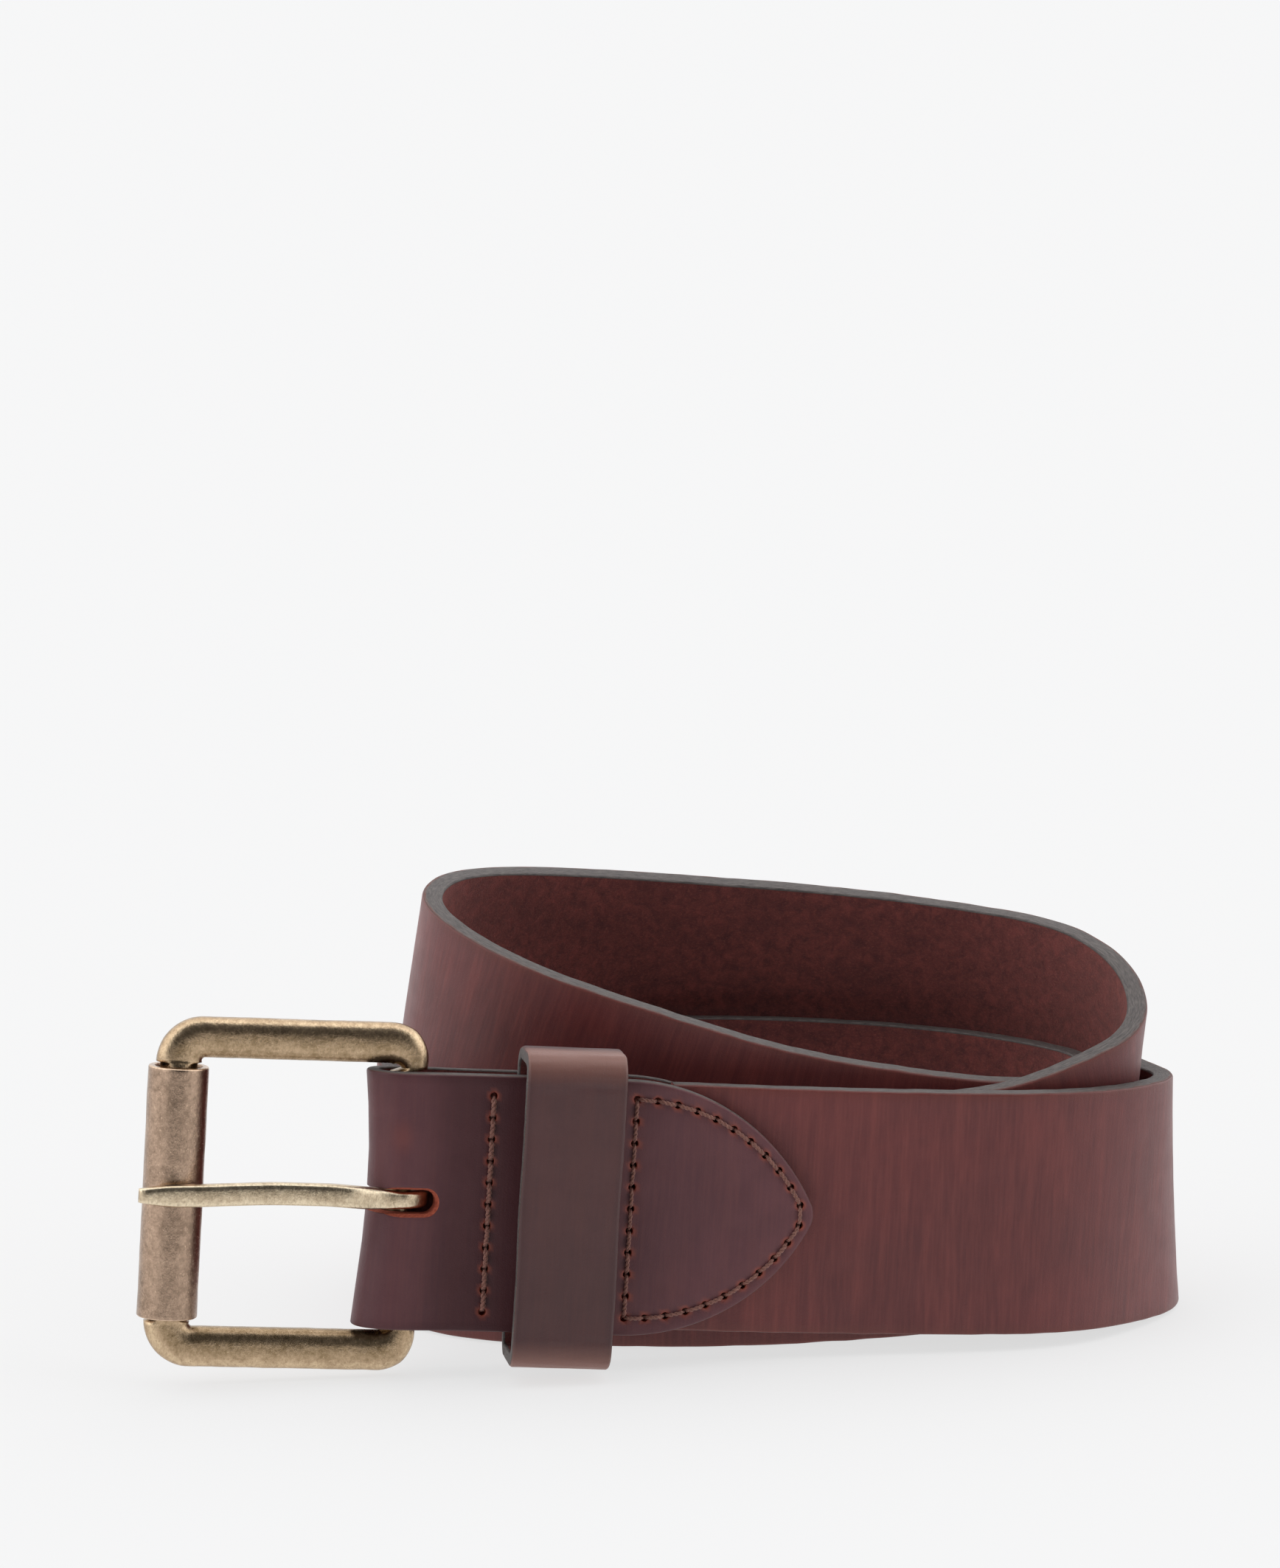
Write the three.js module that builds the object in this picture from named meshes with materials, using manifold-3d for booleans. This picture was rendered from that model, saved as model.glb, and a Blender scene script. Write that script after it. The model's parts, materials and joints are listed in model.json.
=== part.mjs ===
// A 40 mm leather belt with a roller buckle, rolled up and standing on its edge.
// Millimetres, +Z up. The front run of the strap lies along +X, buckle at the left, grain side to -Y.
import * as THREE from 'three';
import { mergeVertices } from 'three/addons/utils/BufferGeometryUtils.js';
import Module from 'manifold-3d';

// Strap
const strapWidth = 40;
const strapThickness = 3.4;
const strapSetBack = 6.3; // the panel's upright row to the strap's square end between the tongues
const tipLength = 26; // shoulder of the pointed tip to where its arcs would meet
const noseRadius = 4.5;
const beltSize = 813; // heel bar to the middle punched hole
const tipReach = 157; // the middle punched hole to the tip
const holePitch = 25.4;
const holeCount = 5;
const holeDiameter = 5;

// Chape: the folded piece that holds the buckle
const chapeOverhang = 0.6; // past each edge of the strap
const frontThickness = 3;
const backThickness = 1.4;
const tongueNose = 66.9; // heel bar to the nose of both tongues
const tongueLength = 31; // shoulder to where the arcs would meet
const bulgeLength = 12; // the fold eases down to the plain sandwich over this length

// Stitching
const stitchPitch = 3.4;
const threadRadius = 0.38;
const stitchHoleClearance = 0.34; // round the thread
const threadDepth = 1; // how far a strand dips into a hole
const bandRow = 14; // heel bar to the straight row
const bandRowInset = 3.2; // its end holes to the chape's edges
const panelRow = 37.2; // heel bar to the upright side of the curved panel
const panelInset = 2.9; // its sides to the chape's edges
const panelNoseInset = 1.9;

// Keeper
const keeperPlace = 27.4; // heel bar to its middle
const keeperWidth = 16;
const keeperThickness = 2.3;
const keeperSkive = 1.6; // thickness of its back run, between the tongues
const keeperClearance = 2; // over the chape's edges
const keeperStandOff = 5.4; // room for the strap's tail
const keeperRadius = 4;
const keeperSlit = 0.4; // butt joint
const stapleWire = 0.55;
const stapleSpan = 6;

// Buckle
const barSpacing = 35.95; // heel bar to front bar, centre to centre
const windowClearance = 0.9; // chape to each rail
const railWidth = 6.6;
const railDepth = 4.6;
const railFlatness = 0.62; // 1 is an oval section, less is squarer
const cornerRadius = 4; // of the rail's centre line
const heelSideX = 1.3; // the right corners stand this far past the heel bar
const barEndGap = 0.2; // the bars stop being round this short of the corners
const shoulderSlimming = 0.8; // of the rail where it meets the heel bar
const rollerSideSlimming = 0.91; // of the rail where it meets the front bar
const heelRadius = 2.2;
const frontBarWidth = 6;
const frontBarDepth = 5.2;
const rollerWall = 1.1;
const rollerClearance = 0.75;
const rollerEndGap = 0.5;
const rollerSeam = 0.6;
const prongWidth = 3.6;
const prongEyeClearance = 0.3;
const prongEyeThickness = 2.7;
const prongThickness = 2.5;
const prongOverhang = 1.2; // past the roller
const prongTipThickness = 1.5;
const prongTipRelief = 0.4; // its tip and middle stand this far off the line of the roller

// Fits
const gap = 0.3; // between faces that touch
const foldClearance = 0.4; // leather round the heel bar
const slotClearance = 0.5; // each side of the prong
const slotEndClearance = 1.1; // past the eye of the prong, room for it to swing

// Sizes that follow from the ones above
const beltLength = beltSize + tipReach; // heel bar to tip
const strapStart = panelRow + strapSetBack;
const chapeWidth = strapWidth + 2 * chapeOverhang;
const bandRowHalf = chapeWidth / 2 - bandRowInset;
const panelHalf = chapeWidth / 2 - panelInset;
const panelNose = tongueNose - panelNoseInset;
const stitchHoleRadius = threadRadius + stitchHoleClearance;
const prongEyeInner = heelRadius + prongEyeClearance;
const prongEyeOuter = prongEyeInner + prongEyeThickness;
const slotWidth = prongWidth + 2 * slotClearance;
const slotEnd = prongEyeOuter + slotEndClearance; // heel bar to the end of the prong slot
const frameHeight = chapeWidth + 2 * windowClearance + 2 * railWidth;
const rollerOuter = frontBarWidth / 2 + rollerClearance + rollerWall;
const frontBarX = -barSpacing;

// The roll below is drawn for a belt of this length and leather of this thickness.
const drawnLength = 970;
const drawnThickness = 3.4;

// The rolled strap's middle line, heel bar first: x, y, height of its lower edge, and lean in degrees
// (positive leans the upper edge to the left of the way it runs, which is into the roll).
const roll = [
  // front run, outermost, lifted by the buckle and keeper
  [0, 0, 8.5, 4.5],
  [28, 0.5, 6.5, 4.5],
  [56, 0, 4.5, 4],
  [85, -1, 3, 2],
  // first right turn
  [110.5, 0.4, 2, 0],
  [125.2, 10.8, 0.7, -1],
  [130.2, 19.4, 0, 2],
  [130.3, 30, 0, 7.5],
  [124.5, 48, 0, 6],
  // outer back wall
  [109.5, 63.5, 0, 4],
  [86.3, 74.4, 0, 2],
  [60.5, 80.8, 0, 2],
  [34.5, 80.5, 0, 2],
  // first left turn
  [15, 71.5, 0, 3],
  [2.5, 55, 0, 4],
  [2, 35.5, 0, 4],
  [11, 20.5, 0, 3],
  // second front run, starting to climb
  [32, 11, 0, 2],
  [57.5, 7.4, 0, 3],
  [83.5, 5.2, 1, 0],
  [107.5, 6.5, 4, -4],
  // second right turn
  [121.8, 15, 10, -4],
  [124, 21.6, 12.7, -3],
  [121.5, 39, 19, 2],
  // high back wall
  [108, 56.5, 21.5, 6],
  [85, 67, 24, 10],
  [58, 72.5, 26.5, 13],
  [30.5, 68.5, 29.5, 14],
  // second left turn, the highest
  [11.5, 54, 31, 12],
  [8.5, 36.5, 28.5, 5],
  [18, 24, 23.5, -4],
  // third front run, coming down
  [37.5, 17, 16.3, -7],
  [61, 14, 8.8, -6],
  [85, 11.7, 4, -4],
  [109.5, 15.5, 1.2, -4],
  // third right turn
  [117, 27, 1, -4],
  [115, 39, 0.5, -3],
  // tail, along the inside
  [98.5, 55.5, 0.5, -4],
  [70, 66, 1, -5],
  [38.5, 67.3, 1, -5],
  [22, 58.5, 0.5, -2],
  [18.5, 45, 0, 0],
  [26.5, 32, 0, 0],
  [48, 24.5, 0, 0],
  [93, 21, 0, 0],
];

const wasm = await Module();
wasm.setup();

const up = new THREE.Vector3(0, 0, 1);

// ---- the middle line ----

// Natural cubic spline through rows of numbers at increasing knots.
function naturalSpline(knots, rows) {
  const last = knots.length - 1;
  const columns = rows[0].length;
  const bend = rows.map(() => new Array(columns).fill(0));
  for (let c = 0; c < columns; c++) {
    const weight = new Array(last + 1).fill(0);
    const right = new Array(last + 1).fill(0);
    for (let i = 1; i < last; i++) {
      const before = knots[i] - knots[i - 1];
      const after = knots[i + 1] - knots[i];
      const slopeChange = (rows[i + 1][c] - rows[i][c]) / after - (rows[i][c] - rows[i - 1][c]) / before;
      const pivot = 2 * (before + after) - before * weight[i - 1];
      weight[i] = after / pivot;
      right[i] = (6 * slopeChange - before * right[i - 1]) / pivot;
    }
    for (let i = last - 1; i > 0; i--) bend[i][c] = right[i] - weight[i] * bend[i + 1][c];
  }
  return (t) => {
    let i = 0;
    while (i < last - 1 && t > knots[i + 1]) i++;
    const span = knots[i + 1] - knots[i];
    const b = (t - knots[i]) / span;
    const a = 1 - b;
    return rows[i].map((low, c) => {
      const curve = (a ** 3 - a) * bend[i][c] + (b ** 3 - b) * bend[i + 1][c];
      return a * low + b * rows[i + 1][c] + (curve * span ** 2) / 6;
    });
  };
}

function lengthsAlong(rows) {
  const lengths = [0];
  for (let i = 1; i < rows.length; i++) {
    lengths.push(lengths[i - 1] + Math.hypot(rows[i][0] - rows[i - 1][0], rows[i][1] - rows[i - 1][1]));
  }
  return lengths;
}

// The roll fitted to this belt: its plan grows with the length, and each turn moves inwards by what
// the leather's thickness adds to the turns outside it.
function fittedRoll() {
  const growth = beltLength / drawnLength;
  const shiftPerTurn = strapThickness - drawnThickness * growth;
  let turned = 0;
  let lastHeading = 0;
  return roll.map(([x, y, lift, lean], i) => {
    const before = roll[Math.max(i - 1, 0)];
    const after = roll[Math.min(i + 1, roll.length - 1)];
    const way = new THREE.Vector2(after[0] - before[0], after[1] - before[1]).normalize();
    const heading = way.angle();
    if (i > 0) turned += THREE.MathUtils.euclideanModulo(heading - lastHeading + 0.5, 2 * Math.PI) - 0.5;
    lastHeading = heading;
    const shift = (shiftPerTurn * turned) / (2 * Math.PI);
    return [growth * x - way.y * shift, growth * y + way.x * shift, lift, lean];
  });
}

const fitted = fittedRoll();
const knots = lengthsAlong(fitted);
const rollAt = naturalSpline(knots, fitted);

function middleAt(t) {
  const [x, y, lift, lean] = rollAt(t);
  return new THREE.Vector3(x, y, lift + (strapWidth / 2) * Math.cos(THREE.MathUtils.degToRad(lean)));
}

// Lengths along the middle line, so that places can be given as a tape measure gives them.
const walk = [{ t: 0, length: 0 }];
const walkStep = 0.5;
for (let t = walkStep; t <= knots.at(-1); t += walkStep) {
  const { length } = walk.at(-1);
  walk.push({ t, length: length + middleAt(t).distanceTo(middleAt(t - walkStep)) });
}

function knotAt(length) {
  let low = 0;
  let high = walk.length - 1;
  while (high - low > 1) {
    const middle = (low + high) >> 1;
    if (walk[middle].length > length) high = middle;
    else low = middle;
  }
  const share = (length - walk[low].length) / (walk[high].length - walk[low].length);
  return walk[low].t + share * walkStep;
}

// The strap's own axes at a length along it: along, out (grain side) and across (towards the upper edge).
function station(length) {
  const t = knotAt(length);
  const place = middleAt(t);
  const lean = THREE.MathUtils.degToRad(rollAt(t)[3]);
  const along = middleAt(t + walkStep).sub(middleAt(t - walkStep)).normalize();
  const upright = up.clone().addScaledVector(along, -along.z).normalize();
  const left = new THREE.Vector3().crossVectors(upright, along);
  const across = upright.multiplyScalar(Math.cos(lean)).addScaledVector(left, Math.sin(lean));
  const out = new THREE.Vector3().crossVectors(along, across);
  return { place, along, across, out };
}

function pointAt(length, out, across) {
  const s = station(length);
  return s.place.addScaledVector(s.out, out).addScaledVector(s.across, across);
}

// ---- solids ----

// Closes a row of rings into one body. A looped row joins its last ring to its first.
function skin(rings, looped = false) {
  const count = rings[0].length;
  const index = [];
  const pairs = looped ? rings.length : rings.length - 1;
  for (let i = 0; i < pairs; i++) {
    const here = i * count;
    const next = ((i + 1) % rings.length) * count;
    for (let j = 0; j < count; j++) {
      const k = (j + 1) % count;
      index.push(here + j, next + k, here + k, here + j, next + j, next + k);
    }
  }
  if (!looped) {
    const end = (rings.length - 1) * count;
    for (let j = 1; j < count - 1; j++) {
      index.push(0, j, j + 1, end, end + j + 1, end + j);
    }
  }
  const geometry = new THREE.BufferGeometry().setFromPoints(rings.flat());
  geometry.setIndex(index);
  return geometry;
}

function solid(geometry) {
  const bare = new THREE.BufferGeometry();
  bare.setAttribute('position', geometry.getAttribute('position'));
  bare.setIndex(geometry.getIndex());
  const merged = mergeVertices(bare, 1e-4);
  return new wasm.Manifold(
    new wasm.Mesh({
      numProp: 3,
      vertProperties: new Float32Array(merged.attributes.position.array),
      triVerts: new Uint32Array(merged.index.array),
    }),
  );
}

function geometryOf(body) {
  const { vertProperties, triVerts } = body.getMesh();
  const geometry = new THREE.BufferGeometry();
  geometry.setAttribute('position', new THREE.BufferAttribute(vertProperties, 3));
  geometry.setIndex(new THREE.BufferAttribute(triVerts, 1));
  return geometry;
}

function joined(bodies) {
  return bodies.reduce((whole, body) => whole.add(body));
}

// A straight rod from one point to another.
function rod(from, to, radius, sides) {
  const geometry = new THREE.CylinderGeometry(radius, radius, from.distanceTo(to), sides);
  const way = to.clone().sub(from).normalize();
  geometry.applyQuaternion(new THREE.Quaternion().setFromUnitVectors(new THREE.Vector3(0, 1, 0), way));
  const middle = from.clone().add(to).multiplyScalar(0.5);
  return solid(geometry.translate(middle.x, middle.y, middle.z));
}

function evenly(from, to, step) {
  const count = Math.max(1, Math.round((to - from) / step));
  return Array.from({ length: count + 1 }, (_, i) => from + ((to - from) * i) / count);
}

// ---- outline of a pointed leather end ----

// Two arcs that spring from the shoulders and meet in a rounded nose.
function pointedEnd(half, length) {
  const radius = (length ** 2 + half ** 2) / (2 * half);
  const noseCentre = Math.sqrt((radius - noseRadius) ** 2 - (radius - half) ** 2);
  const reach = noseCentre + noseRadius;
  const join = (noseCentre * radius) / (radius - noseRadius);
  const halfAt = (x) => {
    if (x <= 0) return half;
    if (x <= join) return Math.sqrt(radius ** 2 - x ** 2) - (radius - half);
    return Math.sqrt(noseRadius ** 2 - (x - noseCentre) ** 2);
  };
  return { reach, halfAt };
}

// Places along a pointed end, closer together towards the nose. The last one leaves a blunt edge.
function pointedPlaces(end, steps) {
  const blunt = 0.06;
  return Array.from({ length: steps }, (_, i) => {
    const turn = ((i + 1) / steps) * (Math.PI / 2);
    return (end.reach - blunt) * Math.sin(turn);
  });
}

// ---- strap ----

const strapHalf = strapWidth / 2;
const tip = pointedEnd(strapHalf, tipLength);
const tipShoulder = beltLength - tip.reach;
const endSteps = 9;
const ribbonStep = 4;

function ribbonRing(length, inner, outer, half) {
  return [
    pointAt(length, outer, -half),
    pointAt(length, outer, half),
    pointAt(length, inner, half),
    pointAt(length, inner, -half),
  ];
}

// A tool that cuts a hole through the leather at a place on the strap.
function punch(length, across, radius, reach, sides) {
  return rod(pointAt(length, -reach, across), pointAt(length, reach, across), radius, sides);
}

function strapBody() {
  const rings = evenly(strapStart, tipShoulder, ribbonStep).map((length) =>
    ribbonRing(length, -strapThickness / 2, strapThickness / 2, strapHalf),
  );
  for (const x of pointedPlaces(tip, endSteps)) {
    rings.push(ribbonRing(tipShoulder + x, -strapThickness / 2, strapThickness / 2, tip.halfAt(x)));
  }
  let body = solid(skin(rings));
  for (let i = 0; i < holeCount; i++) {
    const place = beltSize + (i - (holeCount - 1) / 2) * holePitch;
    body = body.subtract(punch(place, 0, holeDiameter / 2, strapThickness, 16));
  }
  return body;
}

// ---- chape ----

const tongueHalf = chapeWidth / 2;
const tongue = pointedEnd(tongueHalf, tongueLength);
const tongueShoulder = tongueNose - tongue.reach;
const sandwichHalf = strapThickness / 2 + gap; // half the space between the tongues
const foldHalf = heelRadius + foldClearance;
const heel = station(0);

function spaceHalf(length) {
  const ease = THREE.MathUtils.smoothstep(length, 0, bulgeLength);
  return THREE.MathUtils.lerp(foldHalf, sandwichHalf, ease);
}

function tongueRing(length, side, half) {
  const thickness = side > 0 ? frontThickness : backThickness;
  const inner = side * spaceHalf(length);
  return ribbonRing(length, inner, inner + side * thickness, half);
}

function foldRing(angle) {
  const share = (Math.PI / 2 - angle) / Math.PI;
  const outer = foldHalf + THREE.MathUtils.lerp(frontThickness, backThickness, share);
  const corner = (radius, across) =>
    heel.place
      .clone()
      .addScaledVector(heel.along, -radius * Math.cos(angle))
      .addScaledVector(heel.out, radius * Math.sin(angle))
      .addScaledVector(heel.across, across);
  return [
    corner(outer, -tongueHalf),
    corner(outer, tongueHalf),
    corner(foldHalf, tongueHalf),
    corner(foldHalf, -tongueHalf),
  ];
}

function chapeBlank() {
  const nose = pointedPlaces(tongue, endSteps);
  const ends = nose.map((x) => ({ length: tongueShoulder + x, half: tongue.halfAt(x) }));
  const plain = evenly(0, tongueShoulder, 3).map((length) => ({ length, half: tongueHalf }));
  const run = [...plain, ...ends];
  const foldSteps = 10;
  const fold = Array.from({ length: foldSteps - 1 }, (_, i) => foldRing(Math.PI / 2 - ((i + 1) * Math.PI) / foldSteps));
  return skin([
    ...run.toReversed().map(({ length, half }) => tongueRing(length, 1, half)),
    ...fold,
    ...run.map(({ length, half }) => tongueRing(length, -1, half)),
  ].toReversed());
}

// The axes of the buckle: x along the strap, y away from the grain side, z up the heel bar.
const heelFrame = new THREE.Matrix4()
  .makeBasis(heel.along, heel.out.clone().negate(), heel.across)
  .setPosition(heel.place);

function slotTool() {
  const depth = 4 * foldHalf + 2 * frontThickness;
  const outline = new THREE.Shape();
  outline.moveTo(-depth, -slotWidth / 2);
  outline.lineTo(slotEnd - slotWidth / 2, -slotWidth / 2);
  outline.absarc(slotEnd - slotWidth / 2, 0, slotWidth / 2, -Math.PI / 2, Math.PI / 2, false);
  outline.lineTo(-depth, slotWidth / 2);
  const tool = new THREE.ExtrudeGeometry(outline, { depth, bevelEnabled: false, curveSegments: 8 });
  tool.rotateX(Math.PI / 2).translate(0, depth / 2, 0);
  return solid(tool.applyMatrix4(heelFrame));
}

// ---- stitching ----

// Holes of the straight row beside the keeper, as places along and across the strap.
const bandHoles = evenly(bandRowHalf, -bandRowHalf, -stitchPitch).map((across) => ({ length: bandRow, across }));

// Holes round the panel that holds the strap: up its straight side and round its curved one.
function panelHoles() {
  const end = pointedEnd(panelHalf, panelNose - panelRow);
  const shift = panelNose - end.reach;
  const edge = [];
  for (const x of [0, ...pointedPlaces(end, 60)]) edge.push([shift + x, end.halfAt(x)]);
  const lower = edge.toReversed().map(([length, across]) => [length, -across]);
  const outline = [[panelRow, -panelHalf], [panelRow, panelHalf], ...edge, ...lower];
  const points = outline.map(([length, across]) => new THREE.Vector2(length, across));
  const path = new THREE.CurvePath();
  points.forEach((point, i) => path.add(new THREE.LineCurve(point, points[(i + 1) % points.length])));
  const count = Math.round(path.getLength() / stitchPitch);
  return Array.from({ length: count }, (_, i) => path.getPointAt(i / count)).map((point) => ({
    length: point.x,
    across: point.y,
  }));
}

// One continuous strand: a stitch lies over the leather from hole to hole and dips into each.
function strand(holes, side, looped) {
  const thickness = side > 0 ? frontThickness : backThickness;
  const at = ({ length, across }, height, sideways = new THREE.Vector2()) =>
    pointAt(length + sideways.x, side * (spaceHalf(length) + thickness + height), across + sideways.y);
  const lay = gap + threadRadius;
  const dip = Math.min(threadDepth, thickness - gap);
  const last = holes.length - 1;
  const rings = holes.map((hole, i) => {
    const before = holes[looped ? (i + last) % holes.length : Math.max(i - 1, 0)];
    const after = holes[looped ? (i + 1) % holes.length : Math.min(i + 1, last)];
    const way = new THREE.Vector2(after.length - before.length, after.across - before.across);
    const sideways = new THREE.Vector2(-way.y, way.x).setLength(side * threadRadius);
    return [
      at(hole, lay - threadRadius),
      at(hole, lay, sideways.clone().negate()),
      at(hole, lay + threadRadius),
      at(hole, lay, sideways),
    ];
  });
  const dips = holes.map((hole) => rod(at(hole, -dip), at(hole, lay), 0.8 * threadRadius, 4));
  return joined([solid(skin(rings, looped)), ...dips]);
}

const panel = panelHoles();
const stitchReach = sandwichHalf + frontThickness + 2 * gap;
const stitchPunches = [...bandHoles, ...panel].map(({ length, across }) =>
  punch(length, across, stitchHoleRadius, stitchReach, 4),
);
const stitchTool = joined(stitchPunches);

// ---- keeper ----

const keeperFrame = (() => {
  const { place, along, across, out } = station(keeperPlace);
  return new THREE.Matrix4().makeBasis(out, across, along).setPosition(place);
})();

// Drawn across the strap: x out from its middle, y towards its upper edge.
function roundedBox(left, right, half, radius) {
  const outline = new THREE.Path();
  outline.moveTo(left + radius, -half);
  outline.lineTo(right - radius, -half);
  outline.absarc(right - radius, radius - half, radius, -Math.PI / 2, 0, false);
  outline.lineTo(right, half - radius);
  outline.absarc(right - radius, half - radius, radius, 0, Math.PI / 2, false);
  outline.lineTo(left + radius, half);
  outline.absarc(left + radius, half - radius, radius, Math.PI / 2, Math.PI, false);
  outline.lineTo(left, radius - half);
  outline.absarc(left + radius, radius - half, radius, Math.PI, 1.5 * Math.PI, false);
  return outline.getPoints(4);
}

const keeperInside = sandwichHalf + frontThickness + keeperStandOff; // inner face of its front run
const keeperHalf = tongueHalf + keeperClearance;

function keeperBody() {
  const backFace = keeperSkive / 2;
  const outer = roundedBox(-backFace, keeperInside + keeperThickness, keeperHalf + keeperThickness, keeperRadius);
  const inner = roundedBox(backFace, keeperInside, keeperHalf, keeperRadius - keeperThickness);
  const shape = new THREE.Shape(outer);
  shape.holes.push(new THREE.Path(inner));
  const loop = new THREE.ExtrudeGeometry(shape, { depth: keeperWidth, bevelEnabled: false });
  const slit = new THREE.BoxGeometry(4 * keeperSkive, keeperSlit, 2 * keeperWidth);
  let body = solid(loop.translate(0, 0, -keeperWidth / 2)).subtract(solid(slit));
  for (const side of [-1, 1]) {
    const hole = new THREE.BoxGeometry(4 * keeperSkive, stapleWire + 2 * gap, stapleWire + 2 * gap);
    body = body.subtract(solid(hole.translate(0, (side * stapleSpan) / 2, 0)));
  }
  return body.transform(keeperFrame.elements);
}

// A wire staple across the butt joint: crown on one face, legs through, ends turned in on the other.
function stapleBody() {
  const face = keeperSkive / 2 + gap + stapleWire / 2;
  const wire = (x, y, deep, tall) =>
    solid(new THREE.BoxGeometry(deep, tall, stapleWire).translate(x, y, 0));
  const parts = [wire(-face, 0, stapleWire, stapleSpan + stapleWire)];
  const turned = stapleSpan / 2 - keeperSlit;
  for (const side of [-1, 1]) {
    parts.push(wire(0, (side * stapleSpan) / 2, 2 * face + stapleWire, stapleWire));
    parts.push(wire(face, side * (stapleSpan / 2 + stapleWire / 2 - turned / 2), stapleWire, turned));
  }
  return joined(parts).transform(keeperFrame.elements);
}

// ---- buckle, in the axes of the heel bar ----

const railHalf = railWidth / 2;
const railTop = frameHeight / 2 - railHalf;
const barEnd = railTop - cornerRadius - barEndGap;

// One ring of the frame's section, from its half sizes in the frame's plane and through it.
// A flatness of 1 is an oval, and less than 1 is squarer.
function railRing(x, z, normalAngle, inPlane, through, flatness) {
  const points = 16;
  const flat = (value) => Math.sign(value) * Math.abs(value) ** flatness;
  return Array.from({ length: points }, (_, i) => {
    const turn = (i / points) * 2 * Math.PI;
    const reach = inPlane * flat(Math.cos(turn));
    return new THREE.Vector3(
      x + reach * Math.cos(normalAngle),
      through * flat(Math.sin(turn)),
      z + reach * Math.sin(normalAngle),
    );
  });
}

function frameBody() {
  const rings = [];
  const depthHalf = railDepth / 2;
  const quarter = Math.PI / 2;
  const cornerSteps = 6;
  const corner = (cx, cz, from, slimAt) => {
    for (let i = 0; i <= cornerSteps; i++) {
      const angle = from + (quarter * i) / cornerSteps;
      const slim = slimAt(i / cornerSteps);
      if (slim === null) continue;
      const x = cx + cornerRadius * Math.cos(angle);
      const z = cz + cornerRadius * Math.sin(angle);
      rings.push(railRing(x, z, angle, railHalf * slim, depthHalf, railFlatness));
    }
  };
  const rightX = heelSideX - cornerRadius;
  const leftX = frontBarX + cornerRadius;
  const cornerZ = railTop - cornerRadius;
  const shoulderStart = 0.4; // the corner starts here, clear of the heel bar
  const shoulderEase = 0.4;
  const shoulder = (share) => {
    if (share < shoulderStart) return null;
    return THREE.MathUtils.lerp(shoulderSlimming, 1, Math.min(1, (share - shoulderStart) / shoulderEase));
  };
  const rollerSide = (share) => THREE.MathUtils.lerp(rollerSideSlimming, 1, share);
  rings.push(railRing(0, barEnd, 0, heelRadius, heelRadius, 1));
  corner(rightX, cornerZ, 0, shoulder);
  corner(leftX, cornerZ, quarter, (share) => rollerSide(1 - share));
  for (const z of [barEnd, -barEnd]) {
    rings.push(railRing(frontBarX, z, 2 * quarter, frontBarWidth / 2, frontBarDepth / 2, 1));
  }
  corner(leftX, -cornerZ, 2 * quarter, rollerSide);
  corner(rightX, -cornerZ, 3 * quarter, (share) => shoulder(1 - share));
  rings.push(railRing(0, -barEnd, 0, heelRadius, heelRadius, 1));
  return solid(skin(rings.toReversed(), true));
}

// Sheet metal rolled into a tube round the front bar, its seam at the back.
function rollerBody() {
  const inner = rollerOuter - rollerWall;
  const seam = rollerSeam / rollerOuter / 2;
  const outline = new THREE.Shape();
  outline.absarc(0, 0, rollerOuter, Math.PI / 2 + seam, 2.5 * Math.PI - seam, false);
  outline.absarc(0, 0, inner, 2.5 * Math.PI - seam, Math.PI / 2 + seam, true);
  const length = 2 * (barEnd - rollerEndGap);
  const tube = new THREE.ExtrudeGeometry(outline, { depth: length, bevelEnabled: false, curveSegments: 28 });
  return solid(tube.translate(frontBarX, 0, -length / 2));
}

// A hook round the heel bar and a slightly bowed tongue that rests on the roller.
function prongBody() {
  const restFace = -rollerOuter - gap;
  const tipX = frontBarX - rollerOuter - prongOverhang;
  const tipFace = restFace - prongTipRelief;
  const hookEnd = 0.9 * Math.PI;
  const hookStart = -0.6 * Math.PI;
  const outline = new THREE.Shape();
  outline.moveTo(tipX, tipFace);
  outline.quadraticCurveTo(
    tipX - gap,
    restFace - prongTipThickness,
    tipX + prongTipThickness,
    restFace - prongTipThickness - gap,
  );
  outline.splineThru([
    new THREE.Vector2(frontBarX + rollerOuter, restFace - prongThickness),
    new THREE.Vector2(frontBarX / 2, tipFace - prongThickness + 1.5 * prongTipRelief),
    new THREE.Vector2(0, -prongEyeOuter),
  ]);
  outline.absarc(0, 0, prongEyeOuter, -Math.PI / 2, hookEnd, false);
  outline.absarc(0, 0, prongEyeInner, hookEnd, hookStart, true);
  outline.splineThru([
    new THREE.Vector2(-prongEyeOuter, prongThickness - prongEyeOuter),
    new THREE.Vector2(frontBarX / 2, restFace + prongTipRelief),
    new THREE.Vector2(frontBarX + rollerOuter, restFace),
  ]);
  outline.lineTo(tipX, tipFace);
  const blank = new THREE.ExtrudeGeometry(outline, { depth: prongWidth, bevelEnabled: false, curveSegments: 12 });
  return solid(blank.translate(0, 0, -prongWidth / 2));
}

// ---- assembly ----

const belt = new THREE.Group();
const buckle = new THREE.Group();
buckle.applyMatrix4(heelFrame);

function add(group, name, body, color, roughness, metalness = 0) {
  const material = new THREE.MeshStandardMaterial({ color, roughness, metalness, flatShading: true });
  const mesh = new THREE.Mesh(geometryOf(body), material);
  mesh.name = name;
  group.add(mesh);
}

const leather = 0x4a2420;
const keeperLeather = 0x4e2922;
const thread = 0x4b261d;
const brass = 0x7a6238;
const steel = 0x8c8a86;

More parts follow.
